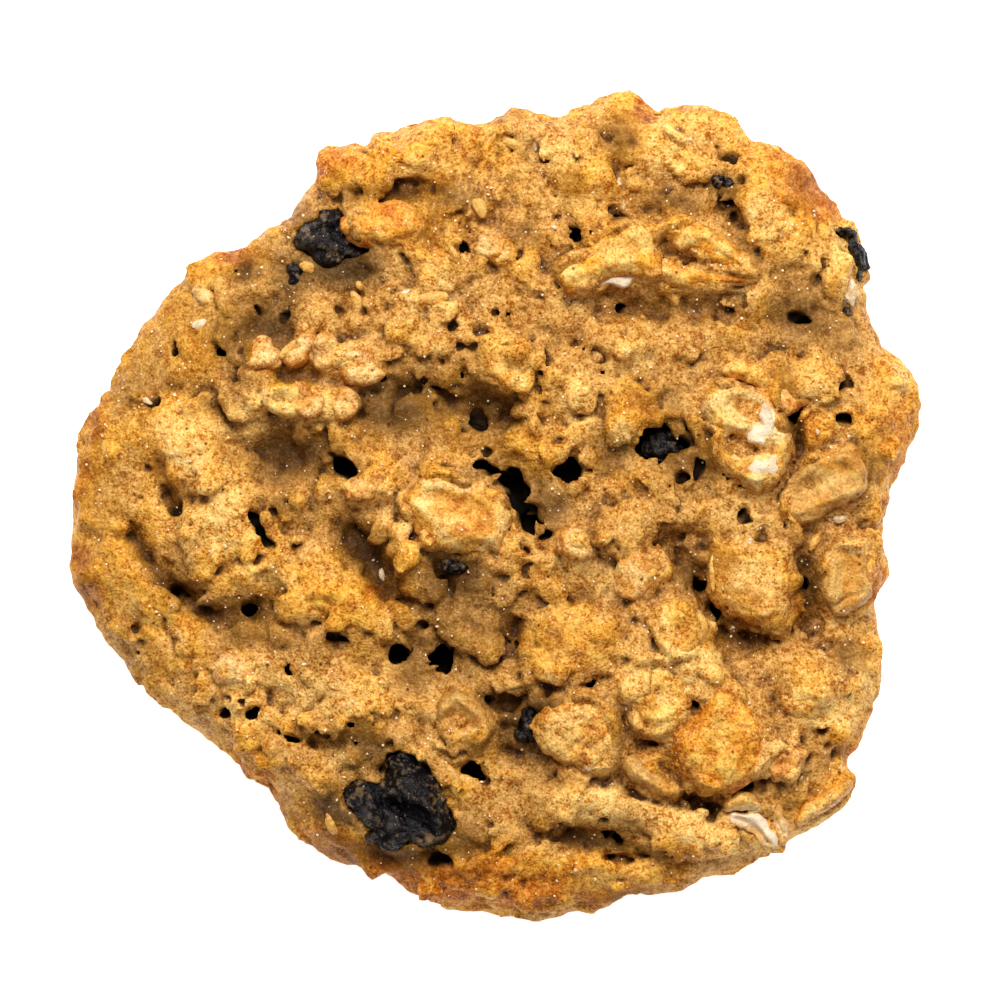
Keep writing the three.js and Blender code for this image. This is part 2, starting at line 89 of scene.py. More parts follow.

# %% [markdown]
# The outline. A hand-dropped cookie is no circle, so a few dozen places on its edge are listed
# and a smooth closed curve runs through them. Everything else asks this curve one question:
# how far is the edge in this direction? A table of the reach by angle answers that quickly.

# %% Outline
OUTLINE = [
    (11.8, 36.3), (14.2, 35.1), (18.0, 35.4), (21.2, 34.4), (22.7, 32.4), (24.8, 31.9),
    (27.2, 30.3), (28.3, 28.4), (30.2, 26.5), (31.2, 24.6), (31.9, 21.5), (32.6, 17.6),
    (34.0, 14.5), (36.6, 11.8), (37.5, 9.0), (37.0, 6.0), (35.2, 1.5), (34.3, -3.0),
    (34.9, -6.3), (33.4, -8.2), (34.1, -14.8), (32.4, -20.0), (31.2, -22.5), (31.7, -24.3),
    (29.4, -26.9), (25.6, -29.6), (22.5, -31.5), (19.3, -33.1), (14.0, -34.3), (8.4, -35.8),
    (3.5, -36.4), (-2.0, -36.2), (-6.0, -35.0), (-9.5, -33.0), (-15.0, -31.0), (-18.3, -28.6),
    (-20.0, -25.4), (-22.3, -23.9), (-23.5, -21.4), (-28.0, -19.0), (-32.0, -15.8),
    (-33.6, -12.9), (-36.5, -9.0), (-37.5, -5.3), (-37.2, 3.0), (-36.9, 6.5), (-34.0, 11.2),
    (-30.0, 17.5), (-25.5, 22.0), (-21.6, 23.4), (-18.3, 26.0), (-16.3, 28.7), (-15.7, 31.2),
    (-12.9, 32.0), (-11.3, 31.7), (-10.8, 33.3), (-8.8, 33.1), (-5.9, 34.4), (-0.6, 34.1),
    (1.7, 35.6), (5.0, 34.4), (8.6, 35.6),
]

SKIN_SWELL = 0.25


def closed_curve(corners, steps=12):
    """A smooth closed curve through the corners, as many points for each stretch as steps."""
    p = np.array(corners, float)
    before, after, beyond = np.roll(p, 1, 0), np.roll(p, -1, 0), np.roll(p, -2, 0)
    t = np.linspace(0, 1, steps, endpoint=False)[None, :, None]
    tension = 0.4
    leave = tension * (after - before)[:, None]
    arrive = tension * (beyond - p)[:, None]
    curve = (
        (2 * t**3 - 3 * t**2 + 1) * p[:, None]
        + (t**3 - 2 * t**2 + t) * leave
        + (3 * t**2 - 2 * t**3) * after[:, None]
        + (t**3 - t**2) * arrive
    )
    return curve.reshape(-1, 2)


edge = closed_curve(OUTLINE)
edge_angle = np.arctan2(edge[:, 1], edge[:, 0])
edge_order = np.argsort(edge_angle)
edge_angle, edge_reach = edge_angle[edge_order], np.hypot(*edge[edge_order].T) + SKIN_SWELL


def reach(x, y):
    """How far the outline is from the middle, in the direction of each point."""
    return np.interp(np.arctan2(y, x), edge_angle, edge_reach, period=2 * math.pi)


print("outline:", len(edge), "points, reach", edge_reach.min().round(1), "to", edge_reach.max().round(1))

# %% [markdown]
# A block of cells. Dough has overhangs, holes and crumbs that a grid of heights can't hold. A
# volume can: a block of small cells that each hold their distance to the surface, less than
# nothing inside. Blender comes with OpenVDB, which turns such a block into a mesh and a mesh back
# into distances. With distances, a minimum joins two shapes and a maximum cuts one by another.

# %% Block of cells
# how many cells beside the surface keep their distance, and a distance that counts as far away
HALO, FAR = 7, 9.0


def spline_shares(points, spacing):
    """How much each knot of an even row counts at each point, for a smooth blend of four knots."""
    place = (points - points[0]) / spacing
    first = np.floor(place).astype(int)
    t = place - first
    shares = ((1 - t) ** 3, 3 * t**3 - 6 * t**2 + 4, 1 + 3 * t * (1 + t - t**2), t**3)
    rows = np.zeros((len(points), first.max() + 4))
    for k, share in enumerate(shares):
        rows[np.arange(len(points)), first + k] = share / 6
    return rows


class Block:
    """A box of cells in millimetres, and what can be asked of it."""

    def __init__(self, lowest, highest, pitch):
        self.low, self.pitch = np.array(lowest, float), pitch
        cells = np.ceil((np.array(highest) - self.low) / pitch).astype(int) + 1
        self.axes = [self.low[k] + pitch * np.arange(cells[k]) for k in range(3)]
        self.x, self.y, self.z = np.meshgrid(*self.axes, indexing="ij", sparse=True)
        self.shape = tuple(cells)

    def grid(self, field):
        """The field as OpenVDB keeps it."""
        made = openvdb.FloatGrid(float(HALO * self.pitch))
        made.copyFromArray(np.ascontiguousarray(field, dtype=np.float32))
        return made

    def distances(self, field):
        """The same surface, with every cell near it holding its real distance."""
        points, quads = self.grid(field).convertToQuads(0.0)
        made = openvdb.FloatGrid.createLevelSetFromPolygons(
            points.astype(np.float32), None, quads.astype(np.uint32),
            openvdb.createLinearTransform(voxelSize=1.0), float(HALO),
        )
        result = np.empty(self.shape, np.float32)
        made.copyToArray(result)
        return result * self.pitch

    def noise(self, spacing, seed, flat=False):
        """Soft random swells about as wide as the spacing. Their spread is 1."""
        axes = self.axes[:2] if flat else self.axes
        rows = [spline_shares(axis, spacing) for axis in axes]
        knots = np.random.default_rng(seed).normal(size=[row.shape[1] for row in rows])
        for k, row in enumerate(rows):
            knots = np.moveaxis(np.tensordot(row, knots, (1, k)), 0, k)
        return knots / knots.std()

    def pebbles(self, spacing, seed, near):
        """Domes of scattered grains with creases between them, in the cells of a mask, 0 elsewhere."""
        cells = np.nonzero(near)
        place = np.stack([self.axes[k][cells[k]] - self.low[k] for k in range(3)], 1) / spacing
        base = np.floor(place).astype(int)
        middles = np.random.default_rng(seed).random((*(base.max(0) + 3), 3))
        nearest = np.full(len(place), FAR)
        for step in np.ndindex(3, 3, 3):
            box = base + step
            away = place + 1 - box - middles[tuple(box.T)]
            nearest = np.minimum(nearest, (away * away).sum(1))
        domes = np.zeros(self.shape, np.float32)
        domes[cells] = 0.3 - nearest
        return domes

    def sample(self, field, points):
        """The field's value at points anywhere in the block, blended from the cells around."""
        place = (points[:, : field.ndim] - self.low[: field.ndim]) / self.pitch
        base = np.clip(np.floor(place).astype(int), 0, np.array(field.shape) - 2)
        t = np.clip(place - base, 0, 1)
        value = 0
        for corner in np.ndindex(*(2,) * field.ndim):
            share = np.prod(np.where(corner, t, 1 - t), axis=1)
            value = value + share * field[tuple((base + corner).T)]
        return value


PITCH, MARGIN = 0.345, 1.2
low = np.array(cad_low) / MM - MARGIN
high = np.array(cad_high) / MM + MARGIN
batch = Block(low, high, PITCH)
X, Y = batch.x[:, :, 0], batch.y[:, :, 0]
print("cells in the dough's block:", batch.shape)

# %% [markdown]
# The lie of the land. Dough that is dropped and baked is a low dome that falls off at the rim,
# thinner on the left where it ran further. Its thickness comes first as one number for each spot,
# with lumps added and grooves taken away. Each lump is a dome with steep sides, as nuggets of
# dough have, and neighbours are blended by a high power so that they keep a crease between them.

# %% Lumps and grooves
CROWN, RIM, CROWN_POWER = 8.8, 6.4, 2.2
LEFT_THINNING, THINNING_START, HALF_LENGTH = 1.5, 0.3, 37.5

# x, y, length, width, turn in degrees, height, finish
LUMPS = [
    (-14.1, 30, 4.8, 3.6, 15, 1.2, "browned"), (-9.6, 31.8, 3.8, 2.8, 0, 0.9, "golden"),
    (-11.5, 29.3, 5, 3.2, 30, 1, "golden"), (-6.8, 31.2, 6, 3.8, 20, 1.2, "golden"),
    (1.6, 32.9, 4.6, 2.8, -25, 0.9, "pale"), (7.5, 31.4, 5.6, 3.4, -25, 1, "golden"),
    (-24.6, 20.9, 4.6, 3.2, 25, 1, "golden"), (-20.3, 22.8, 3.4, 4.2, 0, 0.9, "golden"),
    (-16.6, 17, 3.4, 4.8, -10, 1, "pale"), (-20.5, 13.2, 2.8, 3.4, 20, 1.5, "golden"),
    (-17.3, 13.5, 3.6, 2.2, 45, 1.3, "golden"), (-14.9, 13.3, 3, 3.4, 10, 1.5, "golden"),
    (-11.8, 12.3, 4.8, 4.2, -20, 1.2, "pale"), (-7, 16, 9, 5.4, 10, 1, "crumb"),
    (-4.6, 21.2, 4.6, 3.4, -30, 0.9, "golden"), (0.3, 22.6, 3.8, 2.6, 0, 0.9, "pale"),
    (12.9, 31.4, 4.6, 5, -40, 1, "golden"), (23.5, 30.5, 6.2, 4.2, -20, 0.9, "golden"),
    (24.6, 25.2, 5.2, 7.6, 20, 1.6, "golden"), (27.5, 10.6, 6, 5.2, 10, 1.3, "golden"),
    (28.3, 7.2, 4, 3.6, 0, 1, "browned"), (10.5, 14.5, 6.2, 4.6, 0, 0.9, "crumb"),
    (6.5, 11, 4.6, 5.6, -20, 1.2, "pale"), (0.9, 12.8, 5.6, 5.2, 0, 1.7, "golden"),
    (12, 8, 4.6, 6, 20, 1.1, "golden"), (3.2, 5.4, 4.6, 3.4, -30, 1.1, "golden"),
    (-27.4, 5.4, 7, 8.8, 15, 2.1, "golden"), (-24.6, -1.2, 7, 7.6, 20, 1.5, "golden"),
    (-21.5, 9.6, 4, 4.2, 0, 1.6, "pale"), (-16.2, 9, 8.6, 3.6, -3, 1.7, "golden"),
    (-11.4, 1.6, 4.6, 3, 15, 1.1, "pale"), (-33.2, -6.5, 5.6, 7, 15, 0.9, "golden"),
    (-14.4, -7.6, 12.6, 5.2, -28, 2.1, "golden"), (-7.2, -5, 3.8, 6, -25, 1.5, "crumb"),
    (-28, -11.6, 8, 4.8, -40, 0.9, "golden"), (-22.2, -14.8, 6.6, 4.2, -10, 1, "pale"),
    (-13, -16.9, 8.6, 5.6, -15, 1.4, "golden"), (-18.5, -23, 8, 4.2, -25, 0.8, "crumb"),
    (11.4, -2.2, 6, 5, 15, 1.9, "golden"), (7.2, -3.4, 3.4, 4.6, 5, 1.1, "golden"),
    (12.6, -6.4, 5.4, 3.8, 35, 1.3, "golden"), (7.2, -12, 10.4, 7, 10, 1.7, "golden"),
    (23, -7.2, 9.2, 7.2, -35, 2.1, "golden"), (25.5, -21.9, 4, 3.8, 20, 1.2, "pale"),
    (8.2, -26.4, 10, 3.8, -8, 1.6, "crumb"), (16.8, -28.6, 9, 3.8, -22, 1.7, "golden"),
    (3, -32.6, 14, 4.6, 0, 0.6, "browned"), (18.2, -14.6, 4.6, 5, 0, 1.8, "golden"),
    (10.8, -14, 3, 4, 10, 1.2, "pale"), (31.2, -18.2, 3.6, 6, 0, 1.1, "golden"),
]
LUMP_BLEND, LUMP_FOOT = 5, 1.2

# width, depth, then the line that the groove follows
GROOVES = [
    (1.3, 1.2, [(-29.9, 3.6), (-28.6, 0.6), (-26.0, 0.4)]),
    (1.9, 1.8, [(-32.4, -2.6), (-30.2, -5.4), (-27.6, -8.0), (-24.2, -9.8), (-20.4, -9.2)]),
    (3.6, 1.9, [(-19.5, 4.6), (-15.8, 4.0)]),
    (2.6, 2.4, [(-12.6, -2.4), (-11.4, -4.6), (-9.2, -7.6)]),
    (2.8, 2.2, [(-10.8, 9.0), (-6.8, 9.8), (-2.6, 9.0), (0.4, 8.0)]),
    (1.6, 1.5, [(-13.0, 27.6), (-6.8, 28.2)]),
    (1.6, 2.0, [(20.2, 26.6), (22.9, 23.2)]),
    (2.8, 1.6, [(8.0, 17.9), (13.0, 17.2), (20.0, 17.4)]),
    (2.0, 1.6, [(7.6, 14.0), (9.0, 12.6)]),
    (2.8, 2.2, [(17.2, -5.2), (18.8, -9.0), (22.0, -11.8)]),
    (3.0, 2.3, [(1.2, -17.6), (2.0, -21.2)]),
    (3.0, 1.8, [(-4.6, -5.8), (-5.0, -9.0), (-6.4, -12.6), (-3.0, -13.6)]),
    (1.8, 1.5, [(19.6, -10.6), (22.6, -11.8), (26.0, -11.2)]),
    (1.1, 1.3, [(12.4, -25.2), (15.6, -26.0), (19.8, -27.0)]),
    (2.0, 1.7, [(4.6, -28.8), (10.5, -29.6), (15.5, -31.0)]),
    (1.5, 1.5, [(16.6, -26.0), (20.4, -27.2)]),
    (1.8, 2.0, [(25.8, 8.0), (26.4, 4.6)]),
    (2.2, 1.8, [(27.4, -5.2), (27.6, -8.2), (28.4, -11.6)]),
    (2.2, 1.2, [(14.6, -3.6), (18.0, -3.0)]),
    (1.8, 1.2, [(1.6, -11.2), (0.6, -14.0)]),
]
GROOVE_STEEPNESS = 2.5
print("lumps:", len(LUMPS), "grooves:", len(GROOVES))


# %% Thickness of the dough
def oval(x, y, row):
    """Squared distance from an oval's middle, 1 at its edge."""
    centre_x, centre_y, length, width, turn = row[:5]
    c, s = math.cos(math.radians(turn)), math.sin(math.radians(turn))
    along = (x - centre_x) * c + (y - centre_y) * s
    across = (y - centre_y) * c - (x - centre_x) * s
    return (along / (length / 2)) ** 2 + (across / (width / 2)) ** 2


def line_distance(x, y, line):
    """Distance from a line of straight stretches."""
    best = np.full(np.shape(x), np.inf)
    for (ax, ay), (bx, by) in zip(line, line[1:]):
        dx, dy = bx - ax, by - ay
        t = np.clip(((x - ax) * dx + (y - ay) * dy) / (dx * dx + dy * dy), 0, 1)
        best = np.minimum(best, np.hypot(x - ax - t * dx, y - ay - t * dy))
    return best


def smooth_step(value, start, end):
    """0 before start, 1 past end, and a soft slope in the middle."""
    t = np.clip((value - start) / (end - start), 0, 1)
    return t * t * (3 - 2 * t)


def thickness(x, y):
    """The dough's full thickness, lumps and grooves included."""
    share = np.minimum(np.hypot(x, y) / reach(x, y), 1)
    height = RIM + (CROWN - RIM) * (1 - share**CROWN_POWER)
    height = height - LEFT_THINNING * smooth_step(-x, THINNING_START * HALF_LENGTH, HALF_LENGTH)
    raised = 0
    for lump in LUMPS:
        dome = lump[5] * np.sqrt(np.maximum(0, 1 - oval(x, y, lump) / LUMP_FOOT))
        raised = raised + dome**LUMP_BLEND
    height = height + raised ** (1 / LUMP_BLEND)
    for width, depth, line in GROOVES:
        height = height - depth * np.exp(-GROOVE_STEEPNESS * (line_distance(x, y, line) / width) ** 2)
    return height


# shares of the reach, and of the thickness for the top and the underside there
TOP_REACH = (0.0, 0.80, 0.89, 0.945, 0.98, 1.00, 1.20)
TOP_SHARE = (1.0, 1.00, 0.95, 0.83, 0.62, 0.36, -2.4)
UNDER_REACH = (0.0, 0.963, 0.985, 1.00, 1.20)
UNDER_SHARE = (0.0, 0.0, 0.10, 0.36, 3.2)


def dough_top(x, y):
    share = np.hypot(x, y) / reach(x, y)
    return np.interp(share, TOP_REACH, TOP_SHARE) * thickness(x, y)


def dough_underside(x, y):
    share = np.hypot(x, y) / reach(x, y)
    return np.interp(share, UNDER_REACH, UNDER_SHARE) * thickness(x, y)


top_map = dough_top(X, Y)
under_map = dough_underside(X, Y)
print("dough top:", top_map.max().round(1), "mm at its highest")

# %% [markdown]
# Crumbs. Between the big lumps the dough is a heap of small nuggets and buried oats, each a
# millimetre or three across. Hundreds of little ovals are joined to the surface with a soft
# minimum, which leaves a fillet as wet dough does. Most lie flat and some stand tilted. The seed
# is fixed, so the same crumbs come back on every run.

# %% Crumbs on the dough
CRUMB_COUNT, CRUMB_FILLET = 800, 0.20
FLAKE_SHARE, FLAKE_WIDTHS, NUGGET_WIDTHS = 0.45, (1.2, 2.1), (0.55, 1.25)
# the left rim is smoother: beyond this x and share of the reach, most crumbs are left out there
SMOOTH_BEYOND_X, SMOOTH_BEYOND_SHARE, LEFT_OUT, OUTERMOST = -24, 0.62, 0.65, 0.96
# shares of a crumb's width: how broad it is, and how thick as a flake or as a nugget
BROAD, THIN, THICK = (0.55, 0.9), (0.3, 0.55), (0.7, 1.0)
# the share of its thickness that it is sunk by, and how far it tilts in radians
SUNK, TILT = (-0.1, 0.7), 0.30
chance = np.random.default_rng(20)
rough = np.maximum(batch.z - top_map[:, :, None], under_map[:, :, None] - batch.z)
dough = batch.distances(rough)


def turned(angles):
    """A frame of three axes, turned about z and then tilted two ways."""
    turn, tilt, roll = angles
    c, s = np.cos(turn), np.sin(turn)
    about_z = np.array([[c, s, 0], [-s, c, 0], [0, 0, 1]])
    c, s = np.cos(tilt), np.sin(tilt)
    about_x = np.array([[1, 0, 0], [0, c, s], [0, -s, c]])
    c, s = np.cos(roll), np.sin(roll)
    about_y = np.array([[c, 0, -s], [0, 1, 0], [s, 0, c]])
    return about_y @ about_x @ about_z


def soft_join(first, second, fillet):
    """The lesser of two distances, with a fillet where they meet."""
    near = np.maximum(fillet - np.abs(first - second), 0) / fillet
    return np.minimum(first, second) - near * near * fillet / 4


def add_oval(field, block, centre, radii, axes, fillet):
    """Joins one oval to the block's field, working only in the cells around it."""
    span = max(radii) + fillet + block.pitch
    start = np.maximum(((centre - span - block.low) / block.pitch).astype(int), 0)
    stop = ((centre + span - block.low) / block.pitch).astype(int) + 2
    part = tuple(slice(a, b) for a, b in zip(start, stop))
    away = np.stack(np.broadcast_arrays(*(
        block.axes[k][part[k]].reshape([-1 if j == k else 1 for j in range(3)]) - centre[k]
        for k in range(3)
    )), axis=-1)
    length = np.linalg.norm(away @ axes.T / radii, axis=-1)
    field[part] = soft_join(field[part], (length - 1) * min(radii), fillet)


crumb_places = []
while len(crumb_places) < CRUMB_COUNT:
    x, y = chance.uniform(low[:2], high[:2])
    share = math.hypot(x, y) / reach(x, y)
    smooth_rim = x < SMOOTH_BEYOND_X and share > SMOOTH_BEYOND_SHARE
    if share < OUTERMOST and not (smooth_rim and chance.random() < LEFT_OUT):
        crumb_places.append((x, y))
for x, y in crumb_places:
    flake_like = chance.random() < FLAKE_SHARE
    wide = chance.uniform(*(FLAKE_WIDTHS if flake_like else NUGGET_WIDTHS))
    radii = np.array([wide, wide * chance.uniform(*BROAD), wide * chance.uniform(*THIN)])
    if not flake_like:
        radii[2] = wide * chance.uniform(*THICK)
    tilt, roll = chance.normal(0, TILT, 2)
    sunk = radii[2] * chance.uniform(*SUNK)
    centre = np.array([x, y, float(dough_top(np.array(x), np.array(y))) - sunk])
    add_oval(dough, batch, centre, radii, turned((chance.uniform(0, 6.3), tilt, roll)), CRUMB_FILLET)
print("crumbs added:", len(crumb_places))

# %% [markdown]
# A rough skin. Crumb is grains stuck to grains, with creases between, at every size that the eye
# can see. So the distances get soft swells and then domes of scattered grains, which can also
# overhang. They fade out towards the flat underside, which stays true to the tray.

# %% Rough skin
SWELL, SWELL_HEIGHT, SKIN_DEPTH = 2.6, 0.16, 1.3
# spacing and height of each size of grain
GRAINS = [(2.3, 0.60), (1.2, 0.55), (0.75, 0.24)]

upward = smooth_step(batch.z, 0.2, 1.4)
near_skin = (np.abs(dough) < SKIN_DEPTH) & (upward > 0)
dough -= SWELL_HEIGHT * upward * batch.noise(SWELL, 30)
for step, (spacing, height) in enumerate(GRAINS):
    dough -= height * upward * batch.pebbles(spacing, 31 + step, near_skin)
print("grains of", [spacing for spacing, height in GRAINS], "mm")

# %% [markdown]
# Holes. Steam leaves ragged holes that go so deep that they look black, and near the middle the
# dough has torn open in a crooked crack. Each hole is an upright shaft with a frayed wall that
# widens as it goes down, so that light is lost in it. A maximum with the shaft's distance, turned
# inside out, cuts it.

# %% Holes and the crack
# x, y, length, width, turn in degrees, depth
HOLES = [
    (1.1, 2.2, 2.5, 1.8, -20, 5.5), (-0.9, 3.5, 3.2, 1.7, -30, 5.5), (3.1, -1.6, 1.9, 3, 20, 4.5),
    (6.6, 3.2, 2.2, 1.7, 70, 5), (-13.5, 3.4, 2.3, 1.7, -35, 4.5), (-4.5, -13.4, 2.9, 1.8, -70, 5),
    (-8.5, -13, 2.1, 1.5, 60, 4.5), (-2, -23.5, 2.6, 1.8, -10, 5), (10.6, -29.3, 2.4, 1.5, -45, 4),
    (14.6, 5.6, 4.8, 3.4, 10, 5.4), (17.4, 2.6, 2.8, 2.1, 40, 1.8), (7, 23.7, 2, 1.4, -25, 4),
    (26.9, 16.3, 1.8, 1.2, -50, 4), (-28.3, -7.8, 1.4, 1.1, -30, 3), (-21.6, -9.2, 2, 1.1, 5, 3),
    (-19, -0.4, 1.8, 1, 10, 2.6), (-21, -2.3, 1.1, 1.7, 20, 3.2), (-31.9, -10.8, 1.1, 1.5, 10, 2),
    (-18.2, -14.6, 1.5, 0.9, 10, 3), (-24, -18.5, 1.4, 0.7, 0, 1.6), (-21.3, -18.4, 0.8, 0.7, 0, 2),
    (-13.5, -11.7, 0.8, 0.8, 0, 3), (-12.6, -19.7, 0.8, 1, 20, 3), (-18.1, -20.5, 1.4, 0.6, -25, 2.6),
    (-9.9, -23.3, 1.2, 1.3, 0, 3), (-4.8, -31, 1.5, 1.1, 0, 2), (-0.7, -17.4, 1.2, 1.2, 0, 2.8),
    (10.8, -18.6, 1.5, 0.9, -50, 3), (8.7, -15.6, 0.9, 0.5, 40, 2.4), (18, -17.6, 1, 1.9, -5, 1.8),
    (22.5, -24.7, 1.5, 1, 0, 2.6), (19.2, -9.5, 0.9, 1.1, -20, 3.4), (18, -7.4, 0.7, 0.7, 0, 2.8),
    (27.5, -7.4, 1.1, 1.2, 0, 3.4), (27.8, -2.4, 1.2, 0.7, -20, 3), (26.2, -2, 1, 0.7, 0, 3),
    (22, -0.5, 0.6, 0.8, 0, 2.4), (31.1, 7.9, 1.3, 0.7, -25, 1.8), (31, 10.7, 0.9, 0.6, 20, 1.2),
    (-2.2, 7.3, 1.6, 0.8, 0, 5), (-1.3, 7, 1.3, 0.6, -20, 5), (-3.3, 11.5, 1.1, 0.8, 10, 3.4),
    (8.7, 3.3, 1, 0.4, 10, 2.4), (-6, -10.7, 1.1, 0.9, -20, 3), (1.1, 16.9, 2.3, 1, 8, 2.6),
    (-4.2, 15.6, 0.7, 0.5, 0, 1.6), (-3.2, 26.1, 0.9, 0.5, 0, 2.6), (-3.4, 24, 0.8, 0.6, 0, 2.6),
    (-2.7, 22.7, 0.7, 0.5, 0, 2.2), (6.4, 25.2, 0.9, 0.7, 0, 2.6), (10.7, 25.6, 0.9, 0.4, -20, 2),
    (14.3, 25.3, 0.9, 0.5, 0, 2.4), (21, 26.7, 0.9, 0.9, 0, 2.8), (20.8, 30.9, 1, 1, 0, 1.6),
    (-18.8, 16.2, 0.9, 0.6, 60, 2.6), (-24, 13.3, 0.9, 0.7, 0, 2.4), (-20.9, 17, 0.6, 0.8, 0, 2),
    (-26, 16.8, 0.8, 0.6, 0, 1.4), (-28.3, 14.3, 0.5, 0.5, 0, 1.4), (-29.8, 9.4, 0.8, 0.5, 0, 1.4),
    (4.9, 28.3, 0.5, 0.6, 0, 1.8), (8.8, 13.2, 1.1, 1.4, 30, 2.4), (10.6, 17.7, 1.2, 0.7, -20, 2.4),
    (-11.2, 11.2, 1.4, 0.8, 0, 2.6), (1, -28.9, 0.6, 0.4, 0, 1.4), (-22.3, 20.6, 1.2, 0.7, 30, 2.2),
    (26.2, 7.8, 1.2, 1, 0, 2.4), (-28, -0.4, 1, 0.7, -30, 2.4), (11, -31, 1.6, 0.5, -10, 1.4),
    (0.8, 32.1, 0.9, 0.8, 0, 1.4),
]
CRACK = [
    (-1.2, 4.0), (0.3, 2.9), (1.7, 1.9), (1.9, 0.8), (2.7, -0.4), (3.0, -1.7), (3.0, -2.9), (4.1, -2.7),
]
CRACK_WIDTH, CRACK_DEPTH = 1.0, 4.0
DEPTH_SHARE, FRAY, WIDENING, SHAFT_MARGIN = 0.75, 0.52, 0.10, 2.5
print("holes:", len(HOLES), "and a crack of", len(CRACK) - 1, "stretches")

# %% Cutting the holes
frayed = FRAY * (0.5 * batch.noise(1.1, 40) + 0.8 * batch.noise(0.55, 41))
shafts = np.full(batch.shape, FAR, np.float32)


def cut_shaft(edge, depth, spot):
    """Adds an upright shaft, given how far each spot of the map is outside its edge."""
    i, j = np.nonzero(edge < SHAFT_MARGIN)
    part = slice(i.min(), i.max() + 1), slice(j.min(), j.max() + 1)
    floor = float(dough_top(*map(np.array, spot))) - depth
    below = np.clip(batch.z - floor, 0, depth) - depth
    wall = edge[part][:, :, None] + WIDENING * below + frayed[part]
    shaft = np.maximum(wall, floor - batch.z)
    shafts[part] = np.minimum(shafts[part], shaft)


for hole in HOLES:
    size = math.sqrt(hole[2] * hole[3]) / 2
    cut_shaft((np.sqrt(oval(X, Y, hole)) - 1) * size, DEPTH_SHARE * hole[5], hole[:2])
cut_shaft(line_distance(X, Y, CRACK) - CRACK_WIDTH / 2, CRACK_DEPTH, (1.5, 1.0))
dough = np.maximum(dough, -shafts)
print("share of the cells that were cut away:", (shafts < 0).mean().round(3))

# %% [markdown]
# From cells to mesh. OpenVDB walks the surface and returns points with three or four-sided faces.
# Where the skin is nearly flat, as on the underside, it may merge faces, which keeps the count
# down without touching the crumbs. A crumb that floats free of the rest is dropped.

# %% Mesh from a block
pieces = {}


def mesh_piece(name, points, faces):
    """A smooth-shaded mesh in metres from points in millimetres, riding with the cookie."""
    mesh = bpy.data.meshes.new(name)
    mesh.from_pydata((np.asarray(points) * MM).tolist(), [], faces)
    mesh.polygons.foreach_set("use_smooth", np.ones(len(mesh.polygons), bool))
    mesh.update()
    piece = bpy.data.objects.new(name, mesh)
    bpy.context.collection.objects.link(piece)
    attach(piece, "root")
    pieces[name] = piece
    return piece


def largest_part(points, faces):
    """Drops what isn't connected to the largest part."""
    label = np.arange(len(points))
    pairs = np.concatenate([np.stack([faces[:, k], faces[:, k - 1]], 1) for k in range(4)])
    while True:
        lower = label.copy()
        np.minimum.at(lower, pairs[:, 0], label[pairs[:, 1]])
        np.minimum.at(lower, pairs[:, 1], label[pairs[:, 0]])
        lower = lower[lower]
        if (lower == label).all():
            break
        label = lower
    kept = label == np.bincount(label).argmax()
    new_place = np.cumsum(kept) - 1
    return points[kept], new_place[faces[kept[faces[:, 0]]]]


def surface_points(block, field, flatness=0.0):
    """The field's surface, as points in millimetres and faces, all of one connected part."""
    points, triangles, quads = block.grid(field).convertToPolygons(0.0, flatness)
    faces = np.concatenate([quads, np.column_stack([triangles, triangles[:, 0]])]).astype(int)
    points, faces = largest_part(points * block.pitch + block.low, faces)
    return points, [face[:3] if face[3] == face[0] else face for face in faces.tolist()]


def box_blur(field, reach_cells, passes=2):
    """The mean over a box around each cell, by running sums along each axis."""
    for _ in range(passes):
        for k in range(field.ndim):
            width = [(reach_cells + 1, reach_cells) if j == k else (0, 0) for j in range(field.ndim)]
            running = np.cumsum(np.pad(field, width, mode="edge"), axis=k)
            ahead = np.take(running, range(2 * reach_cells + 1, running.shape[k]), axis=k)
            behind = np.take(running, range(running.shape[k] - 2 * reach_cells - 1), axis=k)
            field = (ahead - behind) / (2 * reach_cells + 1)
    return field


def give(piece, name, values):
    """Keeps one number for each point of a piece's mesh under a name."""
    made = piece.data.attributes.new(name, "FLOAT", "POINT")
    made.data.foreach_set("value", np.asarray(values, np.float32))


print("faces that are dropped: those not connected to a piece's largest part")

# %% [markdown]
# Pressed toppings. An oat flake is a flat seed that the mill has rolled and the oven has puffed; a
# dried berry is a wrinkled bag. Both are a rounded slab with their own outline, ridges and folds,
# so one function makes them all. It draws a smooth outline through a few corners, rounds the edge,
# adds the ridges, and lets the slab lean. The top comes level with that of its packed solid. Swells
# and fine grains roughen its skin, and a crumbly one has the dough's own grains on it too. The
# dough is cleared away there and then joined again to a slightly smaller slab with a fillet, so it
# climbs the topping's sides, and here and there a film of it reaches over the top. Knobs and chips
# are partly dough themselves, so they are joined to it softly, with no gap around them.

# %% Slabs
DETAIL_PITCH, ROOM_BESIDE, ROOM_ABOVE = 0.15, 0.6, 1.4
FOLD_WIDTH, GRIT_SPACING, MARK_STEEPNESS = 0.28, 0.62, 2.5
# the collar is dough that is banked up around a topping, and its grains have a spacing and height
CLIMB, COLLAR, REACH_UP, COLLAR_GRAIN, COLLAR_ROUGHNESS = 0.8, 0.6, 0.9, 1.1, 0.3
# the film is the dough that reaches over a topping's edge, in patches
FILM_WIDTH, FILM_PATCH, FILM_LEAST, CLEARANCE = 0.6, 1.4, 0.2, 0.25


def inside_of(x, y, corners):
    """True where a spot of the map is inside a closed line, by counting crossings."""
    odd = np.zeros(np.broadcast(x, y).shape, bool)
    for (ax, ay), (bx, by) in zip(corners, np.roll(corners, -1, 0)):
        if ay != by:
            crosses = (ay > y) != (by > y)
            odd ^= crosses & (x < ax + (y - ay) * (bx - ax) / (by - ay))
    return odd


def wrinkled(block, size, seed):
    """Narrow folds where a soft noise changes sign, 1 in the bottom of a fold."""
    return np.exp(-(block.noise(size, seed) / FOLD_WIDTH) ** 2)


